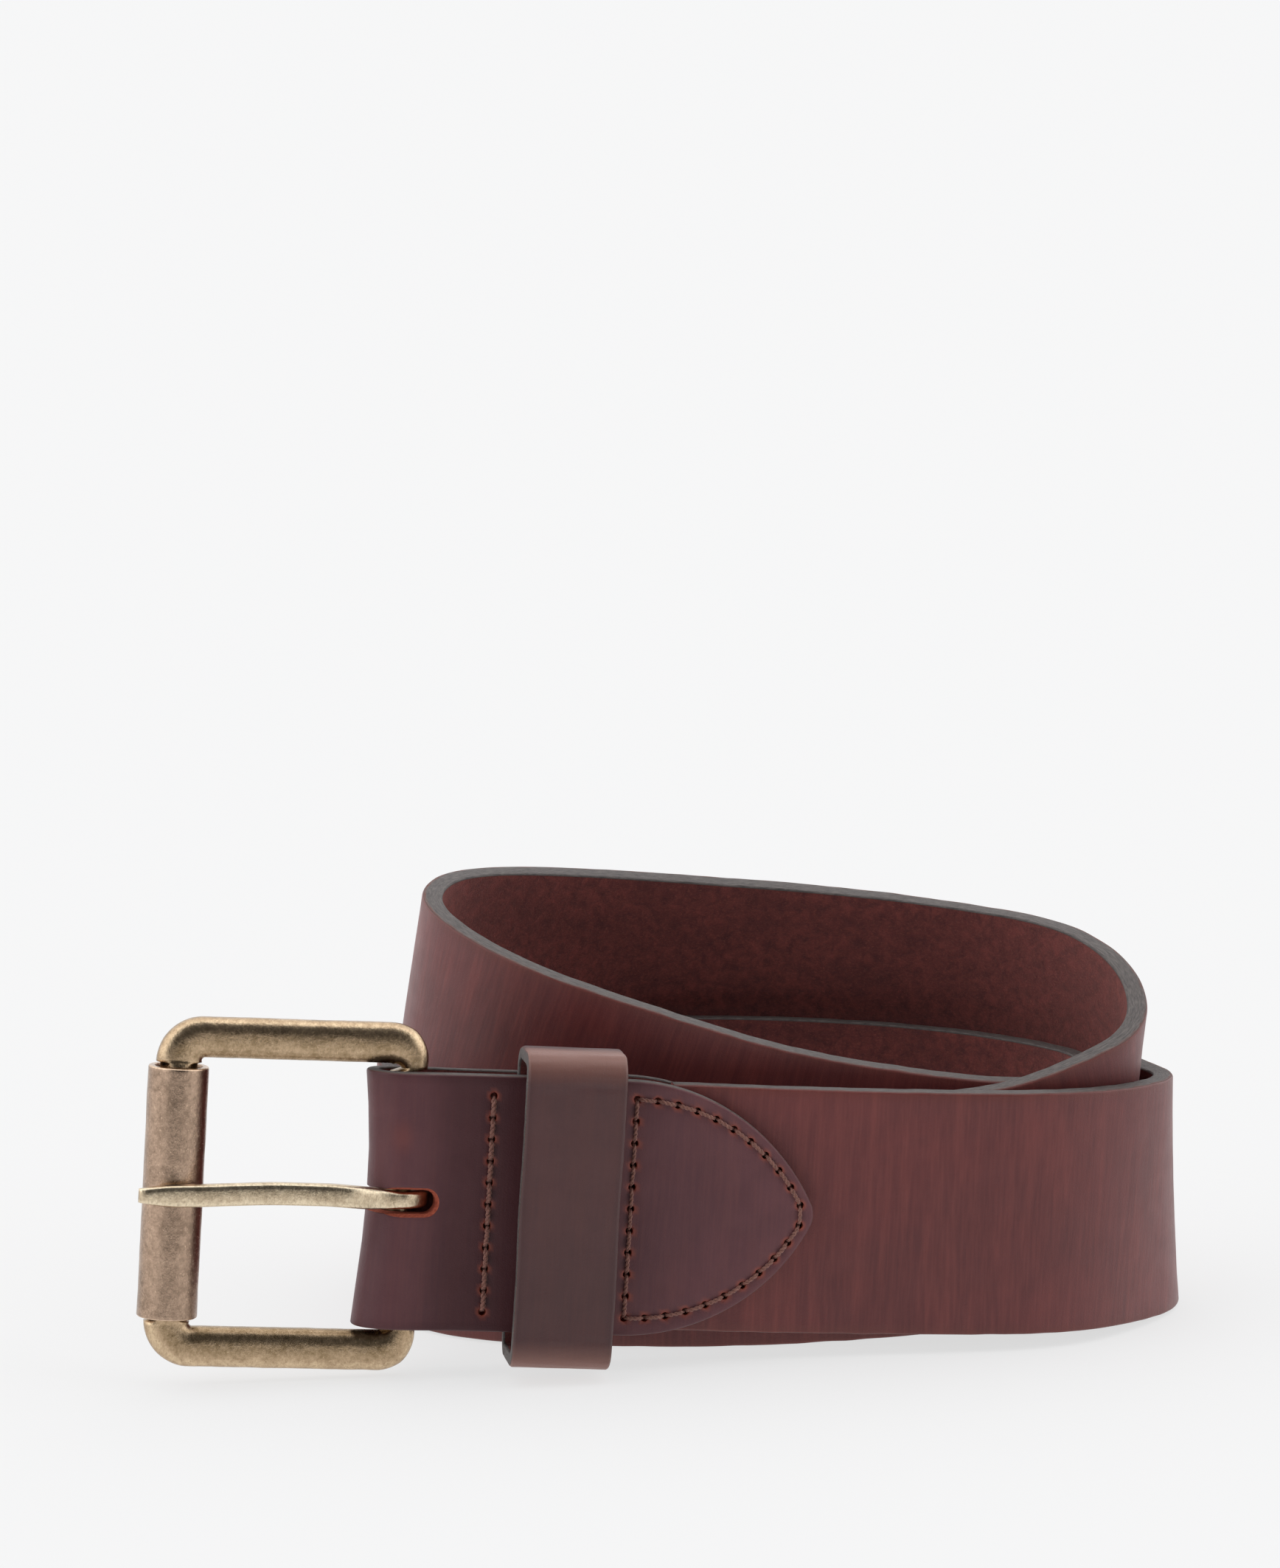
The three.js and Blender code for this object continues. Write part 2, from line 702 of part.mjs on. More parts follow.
add(belt, 'strap', strapBody().subtract(stitchTool), leather, 0.5);
add(belt, 'chape', solid(chapeBlank()).subtract(slotTool()).subtract(stitchTool), leather, 0.5);
add(belt, 'row_thread_front', strand(bandHoles, 1, false), thread, 0.8);
add(belt, 'row_thread_back', strand(bandHoles, -1, false), thread, 0.8);
add(belt, 'panel_thread_front', strand(panel, 1, true), thread, 0.8);
add(belt, 'panel_thread_back', strand(panel, -1, true), thread, 0.8);
add(belt, 'keeper', keeperBody(), keeperLeather, 0.5);
add(belt, 'keeper_staple', stapleBody(), steel, 0.4, 1);
add(buckle, 'buckle_frame', frameBody(), brass, 0.4, 1);
add(buckle, 'roller', rollerBody(), brass, 0.4, 1);
add(buckle, 'prong', prongBody(), brass, 0.35, 1);
belt.add(buckle);

// Origin: middle of the footprint, on the surface it stands on.
belt.updateMatrixWorld(true);
const box = new THREE.Box3().setFromObject(belt, true);
const middle = box.getCenter(new THREE.Vector3());
belt.position.set(-middle.x, -middle.y, -box.min.z);

// Where the moving pieces turn and slide, in the finished frame.
const placed = (point) => point.clone().add(belt.position).toArray();
belt.userData.motion = {
  heelBar: { point: placed(heel.place), axis: heel.across.toArray() },
  roller: {
    point: placed(heel.place.clone().addScaledVector(heel.along, frontBarX)),
    axis: heel.across.toArray(),
  },
  keeper: { point: placed(station(keeperPlace).place), axis: station(keeperPlace).along.toArray() },
};

export default belt;
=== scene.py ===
import json
import math

import bmesh
import bpy
import numpy as np
from mathutils import Matrix, Vector, noise


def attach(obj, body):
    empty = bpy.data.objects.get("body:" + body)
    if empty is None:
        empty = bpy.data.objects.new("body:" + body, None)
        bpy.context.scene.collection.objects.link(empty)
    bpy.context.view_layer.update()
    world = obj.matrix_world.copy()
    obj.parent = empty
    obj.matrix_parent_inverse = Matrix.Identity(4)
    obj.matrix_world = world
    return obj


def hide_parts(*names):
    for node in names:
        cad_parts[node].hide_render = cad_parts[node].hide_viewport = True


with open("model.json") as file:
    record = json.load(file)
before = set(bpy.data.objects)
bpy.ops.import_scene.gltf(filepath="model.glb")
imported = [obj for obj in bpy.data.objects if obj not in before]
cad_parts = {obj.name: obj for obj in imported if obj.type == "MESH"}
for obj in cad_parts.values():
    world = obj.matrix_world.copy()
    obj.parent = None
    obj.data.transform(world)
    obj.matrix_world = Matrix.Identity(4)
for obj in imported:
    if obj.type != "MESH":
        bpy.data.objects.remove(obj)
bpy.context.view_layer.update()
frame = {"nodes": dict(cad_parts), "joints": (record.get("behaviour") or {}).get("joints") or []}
mm = 0.001


# the rolled strap's middle line; its first left turn stands in from the CAD part's, in mm and degrees:
# x, y, height of the lower edge, lean
roll = [
    (0, 0, 8.5, 4.5), (28, 0.5, 6.5, 4.5), (56, 0, 4.5, 4), (85, -1, 3, 2),
    (110.5, 0.4, 2, 0), (125.2, 10.8, 0.7, -1), (130.2, 19.4, 0, 2), (130.3, 30, 0, 7.5),
    (124.5, 48, 0, 6), (109.5, 63.5, 0, 4), (86.3, 74.4, 0, 2), (60.5, 80.8, 0, 2),
    (34.5, 80.5, 0, 2), (15.6, 71.3, 0, 3), (3.7, 55, 0, 4), (3.4, 35.5, 0, 4),
    (11.8, 20.5, 0, 3), (32, 11, 0, 2), (57.5, 7.4, 0, 3), (83.5, 5.2, 1, 0),
    (107.5, 6.5, 4, -4), (121.8, 15, 10, -4), (124, 21.6, 12.7, -3), (121.5, 39, 19, 2),
    (108, 56.5, 21.5, 6), (85, 67, 24, 10), (58, 72.5, 26.5, 13), (30.5, 68.5, 29.5, 14),
    (11.5, 54, 31, 12), (8.5, 36.5, 28.5, 5), (18, 24, 23.5, -4), (37.5, 17, 16.3, -7),
    (61, 14, 8.8, -6), (85, 11.7, 4, -4), (109.5, 15.5, 1.2, -4), (117, 27, 1, -4),
    (115, 39, 0.5, -3), (98.5, 55.5, 0.5, -4), (70, 66, 1, -5), (38.5, 67.3, 1, -5),
    (22, 58.5, 0.5, -2), (18.5, 45, 0, 0), (26.5, 32, 0, 0), (48, 24.5, 0, 0), (93, 21, 0, 0),
]

# sizes in mm, close to the CAD part's
strap = dict(width=40, thickness=3.4, start=43.5, length=970, tipLength=26, noseRadius=4.5,
             middleHole=813, holePitch=25.4, holes=5, holeRadius=2.5, step=1.1, roundGrain=0.42,
             roundFlesh=0.35)
chape = dict(width=41.2, front=3.0, back=1.4, nose=66.9, tongueLength=31, noseRadius=4.5,
             slotWidth=4.6, slotEnd=5.5, bulge=12, heelRadius=2.2, foldClearance=0.4, gap=0.3,
             step=0.55, roundGrain=0.42, roundFlesh=0.3)
stitching = dict(pitch=3.4, holeRadius=0.62, bandRow=14, bandHalf=17.4, panelRow=37.2, panelHalf=17.7,
                 panelNose=65, groove=0.15, grooveWidth=1.0)
keeper = dict(place=26.3, width=16, thickness=2.3, skive=1.6, clearance=2.5, standOff=5.4, radius=4,
              slit=0.4, step=0.45)
buckle = dict(height=56.2, barSpacing=35.95, railWidth=6.6, railDepth=4.6, flatness=0.80, corner=4,
              heelRadius=2.2, heelSide=1.7, barGap=0.2, barWidth=6, barDepth=5.2,
              rollerWall=1.1, rollerClearance=0.75, rollerEndGap=0.5, rollerSeam=0.6,
              prongWidth=3.6, prongClearance=0.3, prongEye=2.7, prongThickness=2.5, overhang=1.2)


def naturalSpline(knots, rows):
    # second derivatives of a natural cubic spline through the rows
    count = len(knots)
    spans = np.diff(knots)
    matrix = np.eye(count)
    right = np.zeros((count, rows.shape[1]))
    for i in range(1, count - 1):
        matrix[i, i - 1:i + 2] = spans[i - 1], 2 * (spans[i - 1] + spans[i]), spans[i]
        right[i] = 6 * ((rows[i + 1] - rows[i]) / spans[i] - (rows[i] - rows[i - 1]) / spans[i - 1])
    bends = np.linalg.solve(matrix, right)

    def at(t):
        t = np.atleast_1d(np.asarray(t, float))
        i = np.clip(np.searchsorted(knots, t, side="right") - 1, 0, count - 2)
        span = spans[i][:, None]
        b = (t - knots[i])[:, None] / span
        a = 1 - b
        curve = (a ** 3 - a) * bends[i] + (b ** 3 - b) * bends[i + 1]
        return a * rows[i] + b * rows[i + 1] + curve * span ** 2 / 6

    return at


rollRows = np.array(roll, float)
rollKnots = np.concatenate([[0], np.cumsum(np.hypot(*np.diff(rollRows[:, :2], axis=0).T))])
rollAt = naturalSpline(rollKnots, rollRows)
walkStep = 0.5


def middleAt(t):
    rows = rollAt(t)
    place = rows[:, :3].copy()
    place[:, 2] += strap["width"] / 2 * np.cos(np.radians(rows[:, 3]))
    return place


walkKnots = np.arange(0, rollKnots[-1], walkStep)
walked = np.concatenate([[0], np.cumsum(np.linalg.norm(np.diff(middleAt(walkKnots), axis=0), axis=1))])


def unit(rows):
    return rows / np.linalg.norm(rows, axis=-1, keepdims=True)


def stations(lengths):
    # place, along, across and out at lengths along the strap from the heel bar, in mm
    t = np.interp(lengths, walked, walkKnots)
    place = middleAt(t)
    lean = np.radians(rollAt(t)[:, 3])[:, None]
    along = unit(middleAt(t + walkStep) - middleAt(t - walkStep))
    up = np.array([0.0, 0.0, 1.0])
    upright = unit(up - along * along[:, 2:3])
    left = np.cross(upright, along)
    across = upright * np.cos(lean) + left * np.sin(lean)
    return place, along, across, np.cross(along, across)


hinge = next(j for j in frame["joints"] if j["name"] == "buckle_swing")
shift = np.array(hinge["pos_m"]) / mm - middleAt([0.0])[0]
heelPlace, heelAlong, heelAcross, heelOut = (rows[0] for rows in stations(np.array([0.0])))


def onStrap(length, out, across):
    # points in metres from arrays of lengths, heights above the middle and places across
    place, alongWay, acrossWay, outWay = stations(np.asarray(length, float).ravel())
    points = place + outWay * np.asarray(out, float).reshape(-1, 1)
    points += acrossWay * np.asarray(across, float).reshape(-1, 1)
    return (points + shift) * mm


def onHeel(points):
    # points given in the heel bar's own axes: x along, y away from the grain side, z up the bar
    points = np.asarray(points, float)
    placed = points[:, :1] * heelAlong - points[:, 1:2] * heelOut + points[:, 2:3] * heelAcross
    return (placed + heelPlace + shift) * mm


def noiseAt(points, scale, seed=0.0):
    return np.array([noise.noise(Vector(p) * scale + Vector((seed, seed * 0.7, -seed))) for p in points])


# meshes


def gridFaces(rings, count, looped, closed=True):
    faces = []
    pairs = rings if looped else rings - 1
    last = count if closed else count - 1
    for i in range(pairs):
        here, there = i * count, ((i + 1) % rings) * count
        for j in range(last):
            k = (j + 1) % count
            faces.append((here + j, there + j, there + k, here + k))
    return faces


def meshPiece(name, points, faces, materials, faceSlots=None, uvMaps=None, smooth=True):
    mesh = bpy.data.meshes.new(name)
    mesh.from_pydata([tuple(p) for p in points], [], faces)
    for material in materials:
        mesh.materials.append(material)
    if faceSlots is not None:
        mesh.polygons.foreach_set("material_index", np.asarray(faceSlots, np.int32))
    corners = np.zeros(len(mesh.loops), np.int32)
    mesh.loops.foreach_get("vertex_index", corners)
    for uvName, values in (uvMaps or {}).items():
        layer = mesh.uv_layers.new(name=uvName)
        layer.data.foreach_set("uv", np.asarray(values, np.float32)[corners].ravel())
    mesh.polygons.foreach_set("use_smooth", [smooth] * len(mesh.polygons))
    mesh.update()
    piece = bpy.data.objects.new(name, mesh)
    bpy.context.scene.collection.objects.link(piece)
    return piece


def cleaned(piece, distance=1e-6, outward=True):
    work = bmesh.new()
    work.from_mesh(piece.data)
    bmesh.ops.remove_doubles(work, verts=work.verts, dist=distance)
    bmesh.ops.dissolve_degenerate(work, edges=work.edges, dist=distance / 4)
    if outward:
        bmesh.ops.recalc_face_normals(work, faces=work.faces)
    work.to_mesh(piece.data)
    work.free()
    piece.data.update()
    return piece


def baked(piece):
    # the piece with its modifiers made part of its mesh
    graph = bpy.context.evaluated_depsgraph_get()
    mesh = bpy.data.meshes.new_from_object(piece.evaluated_get(graph), preserve_all_data_layers=True,
                                           depsgraph=graph)
    piece.modifiers.clear()
    old, piece.data = piece.data, mesh
    mesh.name = piece.name
    bpy.data.meshes.remove(old)
    return piece


def cut(piece, tool):
    modifier = piece.modifiers.new("holes", "BOOLEAN")
    modifier.operation = "DIFFERENCE"
    modifier.solver = "EXACT"
    modifier.material_mode = "TRANSFER"
    modifier.object = tool
    baked(piece)


# leather slabs


class PointedEnd:
    # two arcs that spring from the shoulders and meet in a rounded nose, at any inset from the outline
    def __init__(self, half, length, noseRadius):
        self.half, self.nose = half, noseRadius
        self.radius = (length ** 2 + half ** 2) / (2 * half)
        self.centre = math.sqrt((self.radius - noseRadius) ** 2 - (self.radius - half) ** 2)
        self.reach = self.centre + noseRadius

    def halfAt(self, x, inset):
        radius, nose = self.radius - inset, self.nose - inset
        join = self.centre * radius / (radius - nose)
        arc = np.sqrt(np.maximum(radius ** 2 - x ** 2, 0)) - (self.radius - self.half)
        tipArc = np.sqrt(np.maximum(nose ** 2 - (x - self.centre) ** 2, 0))
        return np.where(x <= 0, self.half - inset, np.where(x <= join, arc, tipArc))


def slabSection(roundGrain, roundFlesh, faceCount, fleshCount):
    # inset from the outline, place across as a share, thickness share, zone, for one turn round a slab:
    # zone 0 is the grain face, 1 the edges, 2 the flesh face
    rows = []
    edge = []
    arc = np.radians([18, 36, 54, 72, 90])
    for i, turn in enumerate(arc):
        edge.append((roundGrain * (1 - math.sin(turn)), ("g", roundGrain * (1 - math.cos(turn))),
                     0 if i < 3 else 1))
    edge.append((0, ("m", 0.5), 1))
    for turn in arc[::-1]:
        edge.append((roundFlesh * (1 - math.sin(turn)), ("f", roundFlesh * (1 - math.cos(turn))), 1))
    for w in np.linspace(-1, 1, faceCount):
        rows.append((roundGrain, w, ("g", 0), 0))
    rows += [(inset, 1, height, zone) for inset, height, zone in edge]
    for w in np.linspace(1, -1, fleshCount):
        rows.append((roundFlesh, w, ("f", 0), 2))
    rows += [(inset, -1, height, zone) for inset, height, zone in reversed(edge)]
    return rows


def sectionHeights(section, thickness):
    heights = []
    for _, _, (kind, value), _ in section:
        if kind == "g":
            heights.append(thickness / 2 - value)
        elif kind == "f":
            heights.append(value - thickness / 2)
        else:
            heights.append(thickness * (value - 0.5))
    return np.array(heights)


def sectionZones(section):
    # the zone of the strip of faces that starts at each point
    zones = [row[3] for row in section]
    strips = []
    for j, zone in enumerate(zones):
        after = zones[(j + 1) % len(zones)]
        strips.append(zone if zone == after else 1)
    return strips


print("strap line ready, length", round(float(walked[-1]), 1), "shift", shift.round(3))


# materials


def linkNodes(tree, output, socket):
    tree.links.new(output, socket)


def addNode(tree, kind, place=(0, 0), inputs=None, **settings):
    node = tree.nodes.new(kind)
    node.location = place
    for key, value in settings.items():
        setattr(node, key, value)
    for key, value in (inputs or {}).items():
        if isinstance(value, bpy.types.NodeSocket):
            tree.links.new(value, node.inputs[key])
        else:
            node.inputs[key].default_value = value
    return node


def newGroup(name, inputs, outputs):
    tree = bpy.data.node_groups.new(name, "ShaderNodeTree")
    for label, kind, value in inputs:
        socket = tree.interface.new_socket(label, in_out="INPUT", socket_type=kind)
        if value is not None:
            socket.default_value = value
    for label, kind in outputs:
        tree.interface.new_socket(label, in_out="OUTPUT", socket_type=kind)
    return tree, tree.nodes.new("NodeGroupInput"), tree.nodes.new("NodeGroupOutput")


def stretched(tree, vector, scale):
    return addNode(tree, "ShaderNodeMapping", inputs={"Vector": vector, "Scale": scale}).outputs["Vector"]


def noiseNode(tree, vector, scale, detail=3.0, roughness=0.5, distortion=0.0):
    return addNode(tree, "ShaderNodeTexNoise",
                   inputs={"Vector": vector, "Scale": scale, "Detail": detail, "Roughness": roughness,
                           "Distortion": distortion}).outputs["Fac"]


def remap(tree, value, low, high, toLow=0.0, toHigh=1.0):
    return addNode(tree, "ShaderNodeMapRange",
                   inputs={"Value": value, "From Min": low, "From Max": high, "To Min": toLow,
                           "To Max": toHigh}).outputs["Result"]


def math2(tree, kind, a, b=0.0, clamp=False):
    return addNode(tree, "ShaderNodeMath", operation=kind, use_clamp=clamp,
                   inputs={0: a, 1: b}).outputs[0]


def mixColors(tree, share, a, b, blend="MIX"):
    node = tree.nodes.new("ShaderNodeMix")
    node.data_type = "RGBA"
    node.blend_type = blend
    node.clamp_result = False
    for index, value in ((0, share), (6, a), (7, b)):
        if isinstance(value, bpy.types.NodeSocket):
            tree.links.new(value, node.inputs[index])
        elif index == 0:
            node.inputs[index].default_value = value
        else:
            node.inputs[index].default_value = (*value, 1.0)
    return node.outputs[2]


def makeLeatherGroup():
    # grain side of pull-up leather on a flat map in mm: blotches, streaks across the strap, pores, scuffs
    tree, given, result = newGroup(
        "pullUpLeather",
        [("Vector", "NodeSocketVector", None), ("Base", "NodeSocketColor", (0.08, 0.025, 0.02, 1)),
         ("Deep", "NodeSocketColor", (0.04, 0.014, 0.013, 1)), ("Bloom", "NodeSocketColor", (0.2, 0.05, 0.03, 1)),
         ("Streaks", "NodeSocketFloat", 0.5), ("Blotches", "NodeSocketFloat", 0.5),
         ("Scuffs", "NodeSocketFloat", 0.3)],
        [("Color", "NodeSocketColor"), ("Roughness", "NodeSocketFloat"), ("Height", "NodeSocketFloat")])
    vector = given.outputs["Vector"]
    broad = noiseNode(tree, vector, 0.035, 3.0, 0.55, 0.6)
    medium = noiseNode(tree, vector, 0.22, 4.0, 0.6)
    streakFine = noiseNode(tree, stretched(tree, vector, (1.7, 0.10, 1.0)), 1.0, 4.0, 0.65)
    streakBroad = noiseNode(tree, stretched(tree, vector, (0.35, 0.03, 1.0)), 1.0, 3.0, 0.6)
    pores = addNode(tree, "ShaderNodeTexVoronoi",
                    inputs={"Vector": vector, "Scale": 2.6, "Randomness": 1.0}).outputs["Distance"]
    wrinkle = noiseNode(tree, vector, 3.4, 5.0, 0.62, 0.8)
    scuffNoise = noiseNode(tree, stretched(tree, vector, (0.5, 0.9, 1.0)), 0.35, 6.0, 0.72, 1.5)

    blotchMask = math2(tree, "MULTIPLY", remap(tree, broad, 0.36, 0.64), given.outputs["Blotches"], True)
    color = mixColors(tree, blotchMask, given.outputs["Base"], given.outputs["Deep"])
    mediumMask = math2(tree, "MULTIPLY", remap(tree, medium, 0.45, 0.75), given.outputs["Blotches"], True)
    color = mixColors(tree, math2(tree, "MULTIPLY", mediumMask, 0.6), color, given.outputs["Deep"])
    streaks = math2(tree, "ADD", math2(tree, "MULTIPLY", remap(tree, streakFine, 0.42, 0.72), 0.6),
                    math2(tree, "MULTIPLY", remap(tree, streakBroad, 0.45, 0.7), 0.5))
    streakMask = math2(tree, "MULTIPLY", streaks, given.outputs["Streaks"], True)
    color = mixColors(tree, math2(tree, "MULTIPLY", streakMask, 0.55), color, given.outputs["Bloom"])
    poreMask = remap(tree, pores, 0.0, 0.22, 1.0, 0.0)
    color = mixColors(tree, math2(tree, "MULTIPLY", poreMask, 0.28), color, given.outputs["Deep"])
    scuffMask = math2(tree, "MULTIPLY", remap(tree, scuffNoise, 0.62, 0.72), given.outputs["Scuffs"], True)
    color = mixColors(tree, math2(tree, "MULTIPLY", scuffMask, 0.4), color, given.outputs["Bloom"])

    rough = math2(tree, "ADD", remap(tree, medium, 0.3, 0.7, 0.40, 0.50),
                  math2(tree, "MULTIPLY", scuffMask, 0.12))
    height = math2(tree, "ADD", math2(tree, "MULTIPLY", wrinkle, 0.55),
                   math2(tree, "MULTIPLY", poreMask, -0.35))
    height = math2(tree, "ADD", height, math2(tree, "MULTIPLY", streakFine, 0.35))
    linkNodes(tree, color, result.inputs["Color"])
    linkNodes(tree, rough, result.inputs["Roughness"])
    linkNodes(tree, height, result.inputs["Height"])
    return tree


def makePatinaGroup():
    # antique brass: dark patina in the hollows, rubbed brass where the Wear attribute is high, fine specks
    tree, given, result = newGroup(
        "antiquePatina",
        [("Vector", "NodeSocketVector", None), ("Wear", "NodeSocketFloat", 0.5),
         ("Bright", "NodeSocketColor", (0.6, 0.45, 0.26, 1)), ("Mid", "NodeSocketColor", (0.36, 0.26, 0.16, 1)),
         ("Dark", "NodeSocketColor", (0.1, 0.07, 0.045, 1)), ("Specks", "NodeSocketFloat", 0.5)],
        [("Color", "NodeSocketColor"), ("Roughness", "NodeSocketFloat"), ("Height", "NodeSocketFloat")])
    vector = given.outputs["Vector"]
    clouds = noiseNode(tree, vector, 0.32, 4.0, 0.6, 0.4)
    grime = noiseNode(tree, vector, 1.3, 6.0, 0.72)
    fine = noiseNode(tree, stretched(tree, vector, (2.4, 2.4, 1.3)), 1.4, 4.0, 0.7)
    specks = noiseNode(tree, stretched(tree, vector, (3.0, 3.0, 2.0)), 1.5, 2.0, 0.5)
    wear = math2(tree, "ADD", given.outputs["Wear"], remap(tree, clouds, 0.3, 0.7, -0.18, 0.18))
    wear = math2(tree, "ADD", wear, remap(tree, grime, 0.3, 0.7, -0.26, 0.26), True)
    color = mixColors(tree, remap(tree, wear, 0.1, 0.55), given.outputs["Dark"], given.outputs["Mid"])
    color = mixColors(tree, remap(tree, wear, 0.6, 1.0), color, given.outputs["Bright"])
    color = mixColors(tree, math2(tree, "MULTIPLY", remap(tree, fine, 0.52, 0.7), 0.55), color,
                      given.outputs["Dark"])
    speckMask = math2(tree, "MULTIPLY", remap(tree, specks, 0.64, 0.74), given.outputs["Specks"], True)
    color = mixColors(tree, speckMask, color, given.outputs["Bright"])
    rough = math2(tree, "ADD", remap(tree, grime, 0.3, 0.7, 0.22, 0.34), math2(tree, "MULTIPLY", wear, -0.08))
    height = math2(tree, "ADD", math2(tree, "MULTIPLY", grime, 0.6), math2(tree, "MULTIPLY", fine, 0.5))
    linkNodes(tree, color, result.inputs["Color"])
    linkNodes(tree, rough, result.inputs["Roughness"])
    linkNodes(tree, height, result.inputs["Height"])
    return tree


leatherGroup = makeLeatherGroup()
patinaGroup = makePatinaGroup()


def bareMaterial(name):
    material = bpy.data.materials.new(name)
    material.use_nodes = True
    tree = material.node_tree
    tree.nodes.clear()
    shader = tree.nodes.new("ShaderNodeBsdfPrincipled")
    output = tree.nodes.new("ShaderNodeOutputMaterial")
    linkNodes(tree, shader.outputs["BSDF"], output.inputs["Surface"])
    return material, tree, shader


def bumped(tree, shader, height, distance, strength=1.0):
    bump = addNode(tree, "ShaderNodeBump", inputs={"Height": height, "Distance": distance, "Strength": strength})
    linkNodes(tree, bump.outputs["Normal"], shader.inputs["Normal"])


def uvVector(tree, name):
    return addNode(tree, "ShaderNodeUVMap", uv_map=name).outputs["UV"]


def marks(tree, name):
    return addNode(tree, "ShaderNodeAttribute", attribute_name=name).outputs["Fac"]


def grainMaterial(name, base, deep, bloom, streaks, blotches, scuffs, specular=0.5, sheen=0.1,
                  darkRimsAndShade=(0.028, 0.006, 0.007), paleRubAndHighlight=(0.23, 0.045, 0.02)):
    material, tree, shader = bareMaterial(name)
    group = tree.nodes.new("ShaderNodeGroup")
    group.node_tree = leatherGroup
    linkNodes(tree, uvVector(tree, "run"), group.inputs["Vector"])
    for label, value in (("Base", (*base, 1)), ("Deep", (*deep, 1)), ("Bloom", (*bloom, 1)),
                         ("Streaks", streaks), ("Blotches", blotches), ("Scuffs", scuffs)):
        group.inputs[label].default_value = value
    # corner attributes: one is high round stitch holes, on a patch where the chape's fold starts, along rubbed
    # rims and at the keeper's bends, where its pale tint also paints a highlight; the shade one darkens the rims
    # and paints shade on the chape from the fold to under the keeper
    color = mixColors(tree, math2(tree, "MULTIPLY", marks(tree, "shade"), 0.75, True), group.outputs["Color"],
                      darkRimsAndShade)
    color = mixColors(tree, math2(tree, "MULTIPLY", marks(tree, "rubAndHighlight"), 0.8, True), color, paleRubAndHighlight)
    linkNodes(tree, color, shader.inputs["Base Color"])
    linkNodes(tree, group.outputs["Roughness"], shader.inputs["Roughness"])
    shader.inputs["Specular IOR Level"].default_value = specular
    shader.inputs["Sheen Weight"].default_value = sheen
    shader.inputs["Sheen Roughness"].default_value = 0.5
    bumped(tree, shader, group.outputs["Height"], 0.00012, 0.75)
    return material


def edgeMaterial(name, base, dark, red):
    # a dyed cut edge whose pale grey base colour paints the sheen of overhead light on the dark dye: fibres along
    # it, and a thin raw line at the grain border
    material, tree, shader = bareMaterial(name)
    vector = uvVector(tree, "run")
    fibres = noiseNode(tree, stretched(tree, vector, (0.6, 3.5, 1.0)), 1.0, 5.0, 0.7)
    patches = noiseNode(tree, stretched(tree, vector, (0.25, 0.6, 1.0)), 1.0, 4.0, 0.7)
    color = mixColors(tree, remap(tree, fibres, 0.35, 0.68), base, dark)
    color = mixColors(tree, remap(tree, patches, 0.5, 0.8, 0.0, 0.6), color, dark)
    share = addNode(tree, "ShaderNodeSeparateXYZ", inputs={0: uvVector(tree, "rim")}).outputs["X"]
    wander = math2(tree, "ADD", share, remap(tree, fibres, 0.3, 0.7, -0.05, 0.05))
    line = math2(tree, "MULTIPLY", remap(tree, wander, 0.80, 0.88), remap(tree, patches, 0.38, 0.6, 0.0, 0.55))
    color = mixColors(tree, line, color, red)
    linkNodes(tree, color, shader.inputs["Base Color"])
    shader.inputs["Roughness"].default_value = 0.62
    shader.inputs["Specular IOR Level"].default_value = 0.4
    bumped(tree, shader, math2(tree, "ADD", fibres, patches), 0.00022, 0.8)
    return material


def fleshMaterial(name, base, deep, pale):
    # the flesh side: matt, fibrous and mottled
    material, tree, shader = bareMaterial(name)
    vector = uvVector(tree, "run")
    clumps = noiseNode(tree, vector, 0.5, 6.0, 0.72, 0.5)
    broad = noiseNode(tree, stretched(tree, vector, (0.05, 0.12, 1.0)), 1.0, 3.0, 0.6)
    nap = noiseNode(tree, stretched(tree, vector, (2.2, 3.4, 1.0)), 1.0, 6.0, 0.75, 0.7)
    color = mixColors(tree, remap(tree, clumps, 0.36, 0.66), base, deep)
    color = mixColors(tree, remap(tree, broad, 0.4, 0.7, 0.0, 0.5), color, deep)
    color = mixColors(tree, remap(tree, nap, 0.52, 0.75, 0.0, 0.6), color, pale)
    linkNodes(tree, color, shader.inputs["Base Color"])
    shader.inputs["Roughness"].default_value = 0.92
    shader.inputs["Specular IOR Level"].default_value = 0.2
    shader.inputs["Sheen Weight"].default_value = 0.25
    shader.inputs["Sheen Roughness"].default_value = 0.6
    shader.inputs["Sheen Tint"].default_value = (0.8, 0.45, 0.4, 1)
    bumped(tree, shader, math2(tree, "ADD", clumps, nap), 0.0003, 0.8)
    return material


def rawMaterial():
    # undyed fibres where a hole or the slot was punched
    material, tree, shader = bareMaterial("rawLeather")
    vector = addNode(tree, "ShaderNodeTexCoord").outputs["Object"]
    fibres = noiseNode(tree, vector, 2600.0, 5.0, 0.7)
    color = mixColors(tree, remap(tree, fibres, 0.35, 0.65), (0.50, 0.125, 0.07), (0.26, 0.05, 0.03))
    linkNodes(tree, color, shader.inputs["Base Color"])
    shader.inputs["Roughness"].default_value = 0.85
    shader.inputs["Specular IOR Level"].default_value = 0.25
    bumped(tree, shader, fibres, 0.0002)
    return material


